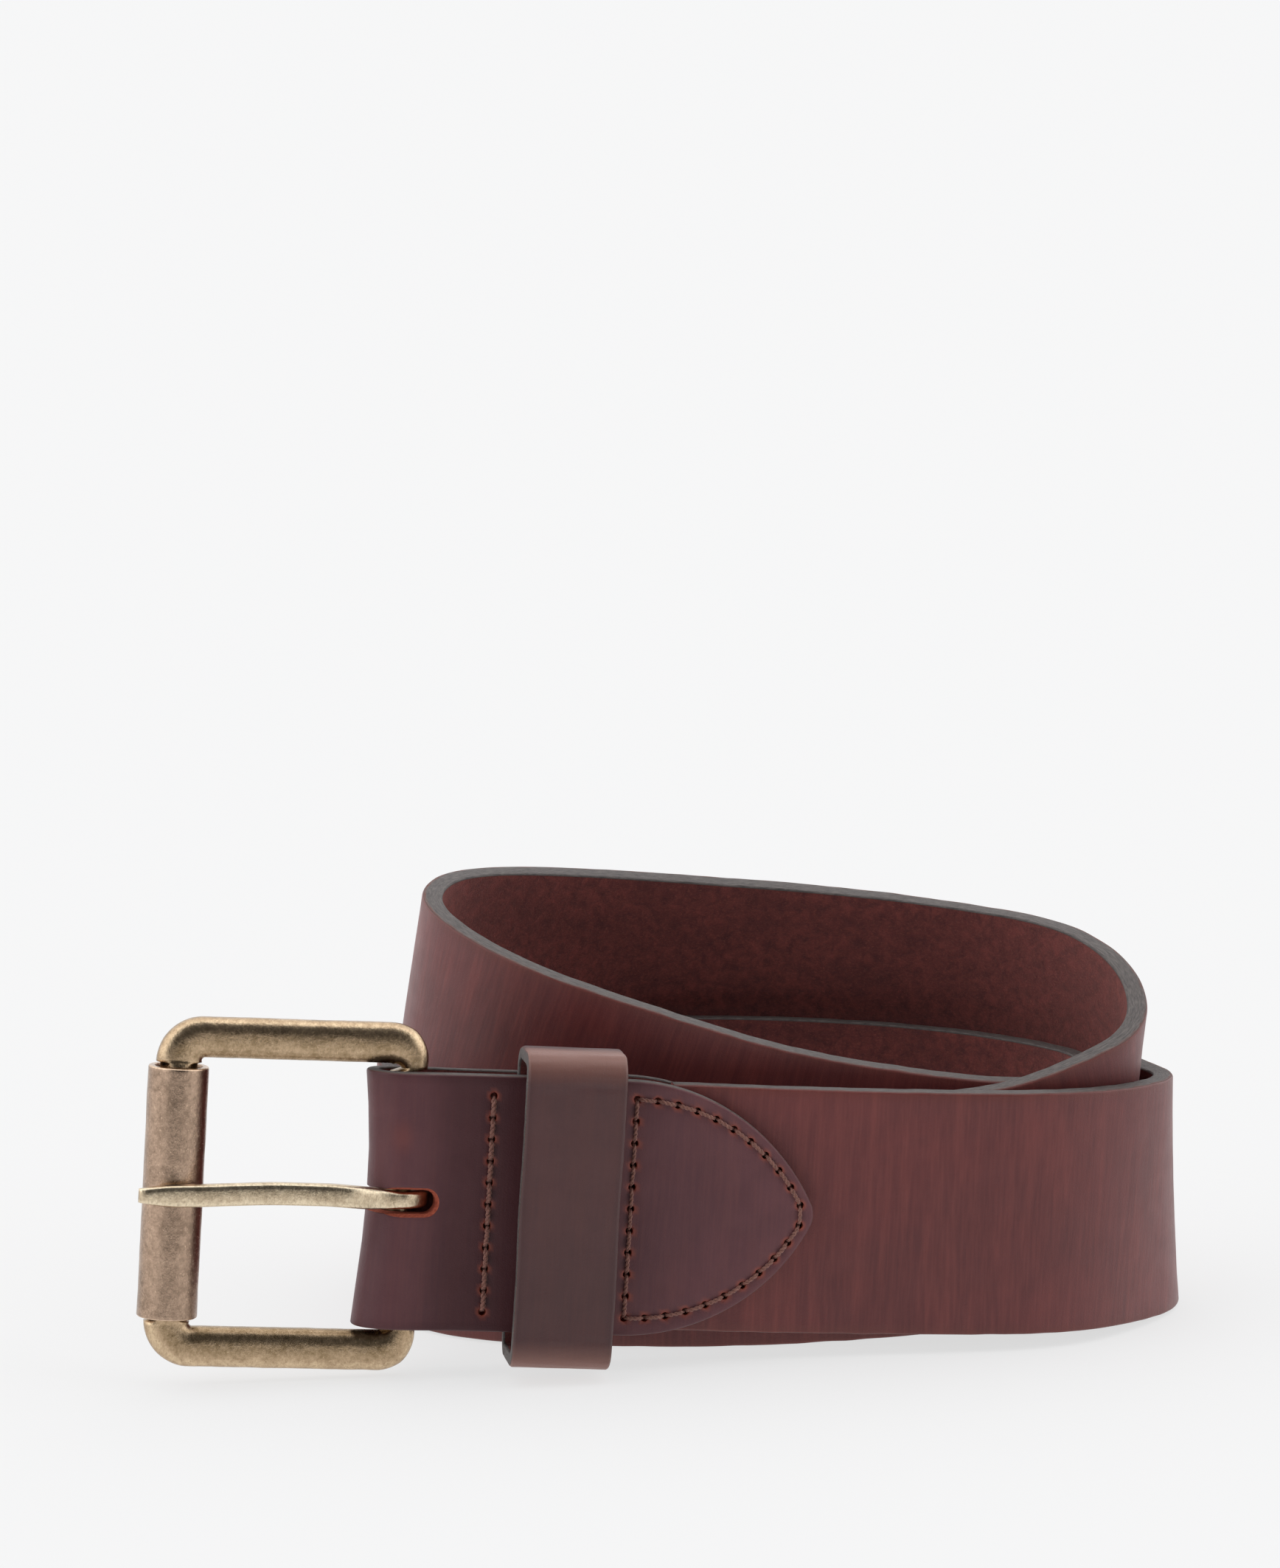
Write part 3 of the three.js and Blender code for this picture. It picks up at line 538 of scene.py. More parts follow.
def brassMaterial(name, bright, mid, dark, specks):
    material, tree, shader = bareMaterial(name)
    object_ = addNode(tree, "ShaderNodeTexCoord").outputs["Object"]
    vector = stretched(tree, object_, (1000.0, 1000.0, 1000.0))
    group = tree.nodes.new("ShaderNodeGroup")
    group.node_tree = patinaGroup
    linkNodes(tree, vector, group.inputs["Vector"])
    linkNodes(tree, marks(tree, "wear"), group.inputs["Wear"])
    for label, value in (("Bright", (*bright, 1)), ("Mid", (*mid, 1)), ("Dark", (*dark, 1)), ("Specks", specks)):
        group.inputs[label].default_value = value
    linkNodes(tree, group.outputs["Color"], shader.inputs["Base Color"])
    linkNodes(tree, group.outputs["Roughness"], shader.inputs["Roughness"])
    shader.inputs["Metallic"].default_value = 1.0
    bumped(tree, shader, group.outputs["Height"], 0.00008, 0.8)
    return material


def threadMaterial():
    material, tree, shader = bareMaterial("waxedThread")
    vector = addNode(tree, "ShaderNodeTexCoord").outputs["Object"]
    fibres = noiseNode(tree, vector, 3200.0, 4.0, 0.7)
    color = mixColors(tree, remap(tree, fibres, 0.35, 0.68), (0.30, 0.125, 0.09), (0.13, 0.045, 0.032))
    linkNodes(tree, color, shader.inputs["Base Color"])
    shader.inputs["Roughness"].default_value = 0.55
    shader.inputs["Sheen Weight"].default_value = 0.2
    bumped(tree, shader, fibres, 0.0001)
    return material


strapGrain = grainMaterial("strapGrain", (0.136, 0.022, 0.022), (0.080, 0.0145, 0.0155), (0.27, 0.058, 0.046),
                           0.85, 0.6, 0.12)
# the chape's dark tint darkens its rims and paints shade from the fold to under the keeper
chapeGrain = grainMaterial("chapeGrain", (0.140, 0.050, 0.058), (0.092, 0.033, 0.040), (0.22, 0.075, 0.066),
                           0.5, 0.8, 0.35, specular=0.34, sheen=0.03, darkRimsAndShade=(0.036, 0.0038, 0.0065),
                           paleRubAndHighlight=(0.34, 0.075, 0.04))
# the keeper's pale tint makes its bends paler, as bent leather pales, and also paints the highlight on its top
# bend
keeperGrain = grainMaterial("keeperGrain", (0.082, 0.030, 0.030), (0.054, 0.021, 0.022), (0.15, 0.05, 0.036),
                            0.30, 0.5, 0.15, specular=0.45, paleRubAndHighlight=(0.40, 0.185, 0.135))
# the cut edges' pale grey base colour is painted sheen of overhead light on a dark dyed edge
edgeDyeAndSheen = edgeMaterial("edgeDyeAndSheen", (0.155, 0.132, 0.122), (0.045, 0.038, 0.038), (0.24, 0.05, 0.025))
fleshSide = fleshMaterial("fleshSide", (0.215, 0.053, 0.047), (0.085, 0.025, 0.026), (0.42, 0.125, 0.095))
rawLeather = rawMaterial()
frameBrass = brassMaterial("frameBrass", (0.72, 0.55, 0.36), (0.49, 0.355, 0.225), (0.25, 0.17, 0.09), 0.6)
rollerBrass = brassMaterial("rollerBrass", (0.68, 0.50, 0.36), (0.44, 0.31, 0.225), (0.22, 0.15, 0.105), 0.8)
prongBrass = brassMaterial("prongBrass", (0.82, 0.69, 0.50), (0.56, 0.45, 0.31), (0.27, 0.20, 0.125), 0.4)
waxedThread = threadMaterial()
print("materials ready")


# strap


def slabRings(section, end, shoulder, plainLengths, endSteps):
    # lengths and places across for each ring of a slab with one pointed end, plain rings first
    insets = np.array([row[0] for row in section])
    shares = np.array([row[1] for row in section])
    lengths = [np.full(len(section), value) for value in plainLengths]
    places = [shares * (end.half - insets)] * len(plainLengths)
    for k in range(1, endSteps + 1):
        reach = math.sin(k / endSteps * math.pi / 2)
        x = (end.reach - insets) * reach
        lengths.append(shoulder + x)
        places.append(shares * end.halfAt(x, insets))
    return np.array(lengths), np.array(places)


def slabMaps(section, heights, thickness, run, places, half):
    # run map: mm along and round the section; rim map: share of the thickness, mm from the rim
    zones = np.array([row[3] for row in section])
    around = np.where(zones == 1, heights, places)
    runMap = np.stack([run, around], axis=-1)
    rimMap = np.stack([np.broadcast_to(heights / thickness + 0.5, run.shape), half - np.abs(places)], axis=-1)
    return runMap.reshape(-1, 2), rimMap.reshape(-1, 2)


def buildStrap():
    half, thickness = strap["width"] / 2, strap["thickness"]
    end = PointedEnd(half, strap["tipLength"], strap["noseRadius"])
    shoulder = strap["length"] - end.reach
    section = slabSection(strap["roundGrain"], strap["roundFlesh"], 28, 18)
    heights = sectionHeights(section, thickness)
    plain = np.arange(strap["start"], shoulder, strap["step"])
    lengths, places = slabRings(section, end, shoulder, np.append(plain, shoulder), 22)
    out = np.broadcast_to(heights, lengths.shape).copy()
    flat = np.stack([lengths.ravel(), places.ravel(), np.zeros(lengths.size)], axis=1)
    sway = noiseAt(flat * (1, 0.6, 1), 0.045, 3.0) * 0.10 + noiseAt(flat, 0.21, 8.0) * 0.045
    near = np.array([row[0] for row in section] * len(lengths)) < strap["roundFlesh"] - 0.01
    rimWander = noiseAt(flat, 0.3, 5.0) * 0.09 * near
    points = onStrap(lengths, out.ravel() + sway, places.ravel() + np.sign(places.ravel()) * (rimWander - 0.05))
    count = len(section)
    faces = gridFaces(len(lengths), count, False)
    slots = sectionZones(section) * (len(lengths) - 1)
    faces.append(tuple(range(count)))
    slots.append(2)
    run, rim = slabMaps(section, heights, thickness, lengths, places, half)
    piece = meshPiece("strapLeather", points, faces, [strapGrain, edgeDyeAndSheen, fleshSide, rawLeather], slots,
                      {"run": run, "rim": rim})
    return cleaned(piece)


def punchTool(name, places, radius, reach, sides):
    # a tool of rods through the strap at (length, across) places, in metres
    points, faces = [], []
    for length, across in places:
        place, along, acrossWay, out = (rows[0] for rows in stations(np.array([length])))
        centre = place + acrossWay * across + shift
        first = len(points)
        for end in (-reach, reach):
            for k in range(sides):
                turn = 2 * math.pi * (k + 0.5) / sides
                points.append((centre + out * end + along * radius * math.cos(turn)
                               + acrossWay * radius * math.sin(turn)) * mm)
        faces += [(first + k, first + (k + 1) % sides, first + sides + (k + 1) % sides, first + sides + k)
                  for k in range(sides)]
        faces += [tuple(range(first, first + sides))[::-1], tuple(range(first + sides, first + 2 * sides))]
    tool = meshPiece(name, points, faces, [rawLeather], smooth=False)
    cleaned(tool)
    tool.hide_render = True
    return tool


strapPiece = buildStrap()
holePlaces = [(strap["middleHole"] + (i - (strap["holes"] - 1) / 2) * strap["holePitch"], 0)
              for i in range(strap["holes"])]
holeTool = punchTool("holeTool", holePlaces, strap["holeRadius"], 2.6, 28)
cut(strapPiece, holeTool)
bpy.data.objects.remove(holeTool)
print("strap", len(strapPiece.data.polygons), "faces")


# stitch seats


def evenly(start, end, step):
    count = max(1, round(abs(end - start) / step))
    return [start + (end - start) * i / count for i in range(count + 1)]


def panelPlaces():
    end = PointedEnd(stitching["panelHalf"], stitching["panelNose"] - stitching["panelRow"],
                     strap["noseRadius"])
    start = stitching["panelNose"] - end.reach
    x = np.concatenate([[0], (end.reach - 0.06) * np.sin(np.arange(1, 61) / 60 * math.pi / 2)])
    halves = end.halfAt(x, 0.0)
    row, side = stitching["panelRow"], stitching["panelHalf"]
    curve = np.array(list(zip(start + x, halves)) + list(zip((start + x)[::-1], -halves[::-1])))
    curve = np.vstack([[row, side], curve, [row, -side]])
    spots = []
    for outline in (np.array([[row, -side], [row, side]]), curve):
        lengths = np.concatenate([[0], np.cumsum(np.hypot(*np.diff(outline, axis=0).T))])
        for mark in evenly(0, lengths[-1], stitching["pitch"])[:-1]:
            spots.append(tuple(float(np.interp(mark, lengths, outline[:, i])) for i in range(2)))
    return spots


bandPlaces = [(stitching["bandRow"], across)
              for across in evenly(stitching["bandHalf"], -stitching["bandHalf"], stitching["pitch"])]
panelSpots = panelPlaces()
stitchRuns = [(a, b) for a, b in zip(bandPlaces, bandPlaces[1:])]
stitchRuns += [(a, b) for a, b in zip(panelSpots, panelSpots[1:] + panelSpots[:1])]


def lineDistance(u, v, runs):
    # distance in mm from points on the flat map to the nearest stitch
    best = np.full(u.shape, 1e3)
    for (ax, ay), (bx, by) in runs:
        dx, dy = bx - ax, by - ay
        share = np.clip(((u - ax) * dx + (v - ay) * dy) / (dx * dx + dy * dy), 0, 1)
        best = np.minimum(best, np.hypot(u - ax - share * dx, v - ay - share * dy))
    return best


def spotDistance(u, v, spots):
    best = np.full(u.shape, 1e3)
    for x, y in spots:
        best = np.minimum(best, np.hypot(u - x, v - y))
    return best


# chape

foldHalf = chape["heelRadius"] + chape["foldClearance"]
sandwichHalf = strap["thickness"] / 2 + chape["gap"]


def spaceHalf(length):
    share = np.clip(np.asarray(length, float) / chape["bulge"], 0, 1)
    return foldHalf + (sandwichHalf - foldHalf) * share * share * (3 - 2 * share)


def foldFlare(places):
    # the fold hugs the bar in its middle and stands a little off at its ends
    return np.interp(places, [-20.6, -14, -7, 0, 8, 15, 20.6], [1.75, 1.15, 0.5, 0.15, 0.15, 0.6, 1.2])


def buildChape():
    half = chape["width"] / 2
    end = PointedEnd(half, chape["tongueLength"], chape["noseRadius"])
    shoulder = chape["nose"] - end.reach
    front = slabSection(chape["roundGrain"], chape["roundFlesh"], 66, 26)
    count = len(front)
    zones = np.array([row[3] for row in front])
    plain = np.append(np.arange(0, shoulder, chape["step"]), shoulder)
    lengths, places = slabRings(front, end, shoulder, plain, 60)
    plainBack = np.append(np.arange(0, shoulder, 2 * chape["step"]), shoulder)
    backLengths, backPlaces = slabRings(front, end, shoulder, plainBack, 30)
    foldSteps = 26

    allPoints, allRun, allRim = [], [], []

    def add(points, run, rows, thickness, heights):
        allPoints.append(points)
        runMap, rimMap = slabMaps(front, heights, thickness, run, rows, half)
        allRun.append(runMap)
        allRim.append(rimMap)

    def relief(run, rows, strength):
        flat = np.stack([run.ravel(), rows.ravel(), np.zeros(run.size)], axis=1)
        sway = noiseAt(flat, 0.06, 1.0) * 0.16 + noiseAt(flat, 0.25, 2.0) * 0.05
        grain = (zones == 0)[None, :] * np.ones_like(run)
        ditch = lineDistance(run.ravel(), rows.ravel(), stitchRuns)
        pressed = stitching["groove"] * np.exp(-(ditch / stitching["grooveWidth"]) ** 2)
        return sway * strength - pressed * grain.ravel()

    heights = sectionHeights(front, chape["front"])
    lengths, places = lengths[::-1], places[::-1]
    middle = spaceHalf(lengths) + chape["front"] / 2
    ease = np.clip(lengths / 8, 0, 1).ravel()
    out = (middle + heights).ravel() + relief(lengths, places, 1.0) * ease
    add(onStrap(lengths, out, places), lengths, places, chape["front"], heights)

    for k in range(1, foldSteps):
        angle = math.pi / 2 - math.pi * k / foldSteps
        thickness = chape["front"] + (chape["back"] - chape["front"]) * k / foldSteps
        foldHeights = sectionHeights(front, thickness)
        rows = np.array([row[1] * (half - row[0]) for row in front])
        radius = foldHalf + thickness / 2 + foldHeights + foldFlare(rows) * math.cos(angle) ** 2
        points = np.stack([-radius * math.cos(angle), -radius * math.sin(angle), rows], axis=1)
        run = np.full(count, -(foldHalf + thickness / 2) * (math.pi / 2 - angle))
        add(onHeel(points), run, rows, thickness, foldHeights)

    heights = sectionHeights(front, chape["back"])
    middle = spaceHalf(backLengths) + chape["back"] / 2
    out = -(middle + heights).ravel()
    turn = -(foldHalf + chape["back"] / 2) * math.pi
    add(onStrap(backLengths, out, backPlaces), turn - backLengths, backPlaces, chape["back"], heights)

    points = np.concatenate(allPoints)
    rings = len(points) // count
    faces = gridFaces(rings, count, False)
    slots = sectionZones(front) * (rings - 1)
    piece = meshPiece("chapeLeather", points, faces, [chapeGrain, edgeDyeAndSheen, fleshSide, rawLeather], slots,
                      {"run": np.concatenate(allRun), "rim": np.concatenate(allRim)})
    return cleaned(piece)


def slotTool():
    # the slot's outline swept from the grain face inwards, wider at the face so that its raw rim shows
    half, end = chape["slotWidth"] / 2, chape["slotEnd"]
    reach = foldHalf + chape["front"]
    levels = [(-reach - 1.2, 0.25, 1.0), (-reach - 0.05, 0.12, 0.85), (-reach + 0.4, -0.05, 0.5),
              (-reach + 0.95, -0.35, 0.05), (0, -0.4, 0.0), (reach, -0.4, 0.0), (reach + 2.5, -0.2, 0.0)]
    points, faces = [], []
    steps = 22
    for y, grow, growEnd in levels:
        wide = half + grow
        ring = [(-12, -wide)]
        for k in range(steps + 1):
            turn = -math.pi / 2 + math.pi * k / steps
            ring.append((end + growEnd - wide + wide * math.cos(turn), wide * math.sin(turn)))
        ring.append((-12, wide))
        points += [(x, y, z) for x, z in ring]
    count = steps + 3
    faces = gridFaces(len(levels), count, False)
    faces += [tuple(range(count)), tuple(range((len(levels) - 1) * count, len(levels) * count))[::-1]]
    tool = meshPiece("slotTool", onHeel(points), faces, [rawLeather], smooth=False)
    cleaned(tool)
    tool.hide_render = True
    return tool


chapePiece = buildChape()
slotPiece = slotTool()
cut(chapePiece, slotPiece)
bpy.data.objects.remove(slotPiece)
seatTool = punchTool("seatTool", bandPlaces + panelSpots, stitching["holeRadius"], 6.2, 10)
cut(chapePiece, seatTool)
bpy.data.objects.remove(seatTool)
print("chape", len(chapePiece.data.polygons), "faces")


def markLeather(piece, rubAndHighlightRule, shadeRule):
    # corner colours from the flat maps: rubbed or raw places, with a painted highlight on the keeper's bends, and
    # darker places: rims, and painted shade on the chape from the fold to under the keeper
    mesh = piece.data
    count = len(mesh.loops)
    run = np.zeros(count * 2, np.float32)
    rim = np.zeros(count * 2, np.float32)
    mesh.uv_layers["run"].data.foreach_get("uv", run)
    mesh.uv_layers["rim"].data.foreach_get("uv", rim)
    run, rim = run.reshape(-1, 2), rim.reshape(-1, 2)
    for name, rule in (("rubAndHighlight", rubAndHighlightRule), ("shade", shadeRule)):
        values = np.clip(rule(run[:, 0], run[:, 1], rim[:, 0], rim[:, 1]), 0, 1)
        layer = mesh.attributes.new(name, "FLOAT", "CORNER")
        layer.data.foreach_set("value", values.astype(np.float32))


def smooth01(value, low, high):
    share = np.clip((value - low) / (high - low), 0, 1)
    return share * share * (3 - 2 * share)


allSpots = bandPlaces + panelSpots
# on the chape: paler round the stitch holes and in a warm patch where the fold starts; darker along the rims and
# a little overall, with painted shade from the fold to under the keeper, and lighter again at the panel
markLeather(
    chapePiece,
    lambda u, v, t, d: (1 - smooth01(spotDistance(u, v, allSpots), 0.62, 1.25)) * 0.8
    + (1 - smooth01(np.hypot((u + 0.2) / 2.4, (v - 10.5) / 4.0), 0.0, 1.0)) * 0.22,
    lambda u, v, t, d: (1 - smooth01(d, 0.1, 2.0)) * 0.35 + 0.25
    + smooth01(u, 1, 9) * (1 - smooth01(u, 20, 39)) * 0.62 - smooth01(u, 34, 40) * 0.25)
markLeather(
    strapPiece,
    lambda u, v, t, d: (1 - smooth01(d, 0.2, 0.9)) * 0.25 * (t > 0.9),
    lambda u, v, t, d: (1 - smooth01(d, 0.3, 2.4)) * 0.3 * (t > 0.9))


# stitches, set from hole to hole by Geometry Nodes


def socketId(tree, label):
    return next(item.identifier for item in tree.interface.items_tree
                if item.item_type == "SOCKET" and item.in_out == "INPUT" and item.name == label)


def stitchTree():
    tree = bpy.data.node_groups.new("layStitches", "GeometryNodeTree")
    tree.interface.new_socket("Geometry", in_out="INPUT", socket_type="NodeSocketGeometry")
    for label, value in (("Length", 0.0034), ("Ply Radius", 0.00024), ("Twists", 2.2), ("Lift", 0.0002),
                         ("Dip", 0.0011)):
        socket = tree.interface.new_socket(label, in_out="INPUT", socket_type="NodeSocketFloat")
        socket.default_value = value
    tree.interface.new_socket("Material", in_out="INPUT", socket_type="NodeSocketMaterial")
    tree.interface.new_socket("Geometry", in_out="OUTPUT", socket_type="NodeSocketGeometry")
    given, result = tree.nodes.new("NodeGroupInput"), tree.nodes.new("NodeGroupOutput")

    def calc(kind, a, b=0.0):
        return addNode(tree, "ShaderNodeMath", operation=kind, inputs={0: a, 1: b}).outputs[0]

    def ply(phase):
        line = tree.nodes.new("GeometryNodeCurvePrimitiveLine")
        line.inputs["Start"].default_value = (-0.5, 0, 0)
        line.inputs["End"].default_value = (0.5, 0, 0)
        fine = tree.nodes.new("GeometryNodeResampleCurve")
        fine.inputs["Count"].default_value = 13
        tree.links.new(line.outputs["Curve"], fine.inputs["Curve"])
        share = tree.nodes.new("GeometryNodeSplineParameter").outputs["Factor"]
        centred = calc("SUBTRACT", calc("MULTIPLY", share, 2.0), 1.0)
        size = calc("ABSOLUTE", centred)
        drop = calc("MULTIPLY", calc("POWER", size, 5.0), given.outputs["Dip"])
        rise = calc("MULTIPLY", calc("SUBTRACT", 1.0, calc("MULTIPLY", size, size)), 0.00012)
        angle = calc("ADD", calc("MULTIPLY", calc("MULTIPLY", share, given.outputs["Twists"]), 2 * math.pi),
                     phase)
        reach = calc("MULTIPLY", given.outputs["Ply Radius"], 0.82)
        taper = calc("SUBTRACT", 1.0, calc("MULTIPLY", calc("POWER", size, 4.0), 0.35))
        reach = calc("MULTIPLY", reach, taper)
        y = calc("MULTIPLY", reach, calc("COSINE", angle))
        z = calc("MULTIPLY", reach, calc("SINE", angle))
        z = calc("ADD", z, calc("SUBTRACT", calc("ADD", given.outputs["Lift"], rise), drop))
        x = calc("MULTIPLY", calc("MULTIPLY", centred, 0.5), given.outputs["Length"])
        place = addNode(tree, "ShaderNodeCombineXYZ", inputs={"X": x, "Y": y, "Z": z}).outputs[0]
        move = tree.nodes.new("GeometryNodeSetPosition")
        tree.links.new(fine.outputs["Curve"], move.inputs["Geometry"])
        tree.links.new(place, move.inputs["Position"])
        circle = tree.nodes.new("GeometryNodeCurvePrimitiveCircle")
        circle.inputs["Resolution"].default_value = 6
        tree.links.new(given.outputs["Ply Radius"], circle.inputs["Radius"])
        tube = tree.nodes.new("GeometryNodeCurveToMesh")
        tube.inputs["Fill Caps"].default_value = True
        tree.links.new(move.outputs["Geometry"], tube.inputs["Curve"])
        tree.links.new(circle.outputs["Curve"], tube.inputs["Profile Curve"])
        return tube.outputs["Mesh"]

    both = tree.nodes.new("GeometryNodeJoinGeometry")
    for phase in (0.0, math.pi):
        tree.links.new(ply(phase), both.inputs["Geometry"])

    def named(label):
        node = tree.nodes.new("GeometryNodeInputNamedAttribute")
        node.data_type = "FLOAT_VECTOR"
        node.inputs["Name"].default_value = label
        return node.outputs["Attribute"]

    turned = tree.nodes.new("FunctionNodeAxesToRotation")
    turned.primary_axis, turned.secondary_axis = "Z", "X"
    tree.links.new(named("outWay"), turned.inputs[0])
    tree.links.new(named("alongWay"), turned.inputs[1])
    stretch = tree.nodes.new("GeometryNodeInputNamedAttribute")
    stretch.data_type = "FLOAT_VECTOR"
    stretch.inputs["Name"].default_value = "stretchBy"
    lay = tree.nodes.new("GeometryNodeInstanceOnPoints")
    tree.links.new(given.outputs["Geometry"], lay.inputs["Points"])
    tree.links.new(both.outputs["Geometry"], lay.inputs["Instance"])
    tree.links.new(turned.outputs["Rotation"], lay.inputs["Rotation"])
    tree.links.new(stretch.outputs["Attribute"], lay.inputs["Scale"])
    real = tree.nodes.new("GeometryNodeRealizeInstances")
    tree.links.new(lay.outputs["Instances"], real.inputs["Geometry"])
    shade = tree.nodes.new("GeometryNodeSetShadeSmooth")
    tree.links.new(real.outputs["Geometry"], shade.inputs["Geometry"])
    paint = tree.nodes.new("GeometryNodeSetMaterial")
    tree.links.new(shade.outputs["Geometry"], paint.inputs["Geometry"])
    tree.links.new(given.outputs["Material"], paint.inputs["Material"])
    tree.links.new(paint.outputs["Geometry"], result.inputs["Geometry"])
    return tree


stitches = stitchTree()


def layStitches(name, spots, side, looped, lift, plyRadius):
    ends = spots[1:] + spots[:1] if looped else spots[1:]
    starts = spots if looped else spots[:-1]
    thickness = chape["front"] if side > 0 else chape["back"]
    points, outs, alongs, scales = [], [], [], []
    rng = np.random.default_rng(7)
    for a, b in zip(starts, ends):
        ring = [onStrap([p[0]], [side * (float(spaceHalf(p[0])) + thickness)], [p[1]])[0] for p in (a, b)]
        _, _, _, out = stations(np.array([(a[0] + b[0]) / 2]))
        way = ring[1] - ring[0]
        points.append((ring[0] + ring[1]) / 2)
        outs.append(out[0] * side)
        tilt = rng.normal(0, 0.035)
        sideWay = np.cross(out[0], way)
        alongs.append(unit(way + sideWay * tilt))
        scales.append((np.linalg.norm(way) / (stitching["pitch"] * mm), 1 + rng.normal(0, 0.05),
                       1 + rng.normal(0, 0.05)))
    mesh = bpy.data.meshes.new(name)
    mesh.from_pydata([tuple(p) for p in points], [], [])
    for label, rows in (("outWay", outs), ("alongWay", alongs), ("stretchBy", scales)):
        layer = mesh.attributes.new(label, "FLOAT_VECTOR", "POINT")
        layer.data.foreach_set("vector", np.array(rows, np.float32).ravel())
    piece = bpy.data.objects.new(name, mesh)
    bpy.context.scene.collection.objects.link(piece)
    modifier = piece.modifiers.new("stitches", "NODES")
    modifier.node_group = stitches
    for label, value in (("Length", stitching["pitch"] * mm), ("Ply Radius", plyRadius * mm),
                         ("Twists", 2.2), ("Lift", lift * mm), ("Dip", 0.0017), ("Material", waxedThread)):
        modifier[socketId(stitches, label)] = value
    return baked(piece)


threadPieces = [
    layStitches("rowStitchesFront", bandPlaces, 1, False, 0.2, 0.26),
    layStitches("rowStitchesBack", bandPlaces, -1, False, 0.05, 0.26),
    layStitches("panelStitchesFront", panelSpots, 1, True, 0.12, 0.2),
    layStitches("panelStitchesBack", panelSpots, -1, True, 0.05, 0.2),
]
print("stitches", [len(piece.data.polygons) for piece in threadPieces])


# keeper


def roundedLoop(left, right, half, radius, slit, lineSteps, arcSteps):
    # points round a box with rounded corners, from one side of the slit in its left side to the other
    def line(a, b, steps):
        return [tuple(np.array(a) + (np.array(b) - np.array(a)) * i / steps) for i in range(steps)]

    def arc(cx, cy, start):
        return [(cx + radius * math.cos(start + math.pi / 2 * i / arcSteps),
                 cy + radius * math.sin(start + math.pi / 2 * i / arcSteps)) for i in range(arcSteps)]

    quarter = math.pi / 2
    points = line((left, -slit), (left, radius - half), lineSteps // 2)
    points += arc(left + radius, radius - half, 2 * quarter)
    points += line((left + radius, -half), (right - radius, -half), 10)
    points += arc(right - radius, radius - half, 3 * quarter)
    points += line((right, radius - half), (right, half - radius), lineSteps)
    points += arc(right - radius, half - radius, 0)
    points += line((right - radius, half), (left + radius, half), 10)
    points += arc(left + radius, half - radius, quarter)
    points += line((left, half - radius), (left, slit), lineSteps // 2)
    return np.array(points + [(left, slit)])


def buildKeeper():
    inside = sandwichHalf + chape["front"] + keeper["standOff"]
    half = chape["width"] / 2 + keeper["clearance"]
    thick, skive = keeper["thickness"], keeper["skive"]
    lineSteps = round(2 * half / keeper["step"])
    outer = roundedLoop(-skive / 2, inside + thick, half + thick, keeper["radius"], keeper["slit"] / 2,
                        lineSteps, 12)
    inner = roundedLoop(skive / 2, inside, half, keeper["radius"] - thick, keeper["slit"] / 2, lineSteps, 12)
    middle = (outer + inner) / 2
    run = np.concatenate([[0], np.cumsum(np.hypot(*np.diff(middle, axis=0).T))])
    section = slabSection(0.55, 0.35, 26, 14)
    count = len(section)
    zones = np.array([row[3] for row in section])
    insets = np.array([row[0] for row in section])
    shares = np.array([row[1] for row in section])
    place, along, across, out = (rows[0] for rows in stations(np.array([keeper["place"]])))
    points, runMap, rimMap = [], [], []
    for i, length in enumerate(run):
        thickness = np.linalg.norm(outer[i] - inner[i])
        heights = sectionHeights(section, min(thickness, thick * 1.3))
        ways = (outer[i] - inner[i]) / thickness
        wide = shares * (keeper["width"] / 2 - insets)
        # creases across the bends, and a soft sway in the edges
        bend = math.exp(-((abs(middle[i][1]) - half) / 3.2) ** 2) * (middle[i][0] > 3)
        crease = np.array([noise.noise(Vector((length * 2.1, w * 0.12, 4.0))) for w in wide]) * 0.15 * bend
        crease += np.array([noise.noise(Vector((length * 0.2, w * 0.2, 9.0))) for w in wide]) * 0.06
        crease *= zones == 0
        sway = noise.noise(Vector((length * 0.06, 2.0, 7.0))) * 0.30 * (middle[i][0] > 2)
        wander = noise.noise(Vector((length * 0.55, 5.0, 1.0))) * 0.05
        for j in range(count):
            flat = middle[i] + ways * (heights[j] + crease[j])
            reach = wide[j] + sway + (np.sign(wide[j]) * wander if zones[j] == 1 else 0)
            points.append((place + out * flat[0] + across * flat[1] + along * reach + shift) * mm)
            around = heights[j] if zones[j] == 1 else wide[j]
            runMap.append((around, length + 400))
            rimMap.append((heights[j] / thickness + 0.5, keeper["width"] / 2 - abs(wide[j])))
    faces = gridFaces(len(run), count, False)
    slots = sectionZones(section) * (len(run) - 1)
    faces += [tuple(range(count)), tuple(range((len(run) - 1) * count, len(run) * count))[::-1]]
    slots += [2, 2]
    piece = meshPiece("keeperLeather", points, faces, [keeperGrain, edgeDyeAndSheen, fleshSide], slots,
                      {"run": runMap, "rim": rimMap})
    cleaned(piece)
    middleRun = run[-1] / 2 + 400
    frontHalf = half + 1
    # on the keeper: paler at both bends, as bent leather pales, which also paints the highlight on the top bend;
    # darker along the rims
    markLeather(
        piece,
        lambda u, v, t, d: (1 - smooth01(np.abs(np.abs(v - middleRun) - frontHalf - 1.5), 0.8, 5.5)) * 0.6,
        lambda u, v, t, d: (1 - smooth01(d, 0.3, 1.6)) * 0.3)
    return piece


keeperPiece = buildKeeper()
print("keeper", len(keeperPiece.data.polygons), "faces")

# buckle, in the heel bar's own axes

railHalf = buckle["railWidth"] / 2
rollerOuter = buckle["barWidth"] / 2 + buckle["rollerClearance"] + buckle["rollerWall"]
barX = -buckle["barSpacing"]
railTop = buckle["height"] / 2 - railHalf
barEnd = railTop - buckle["corner"] - buckle["barGap"]


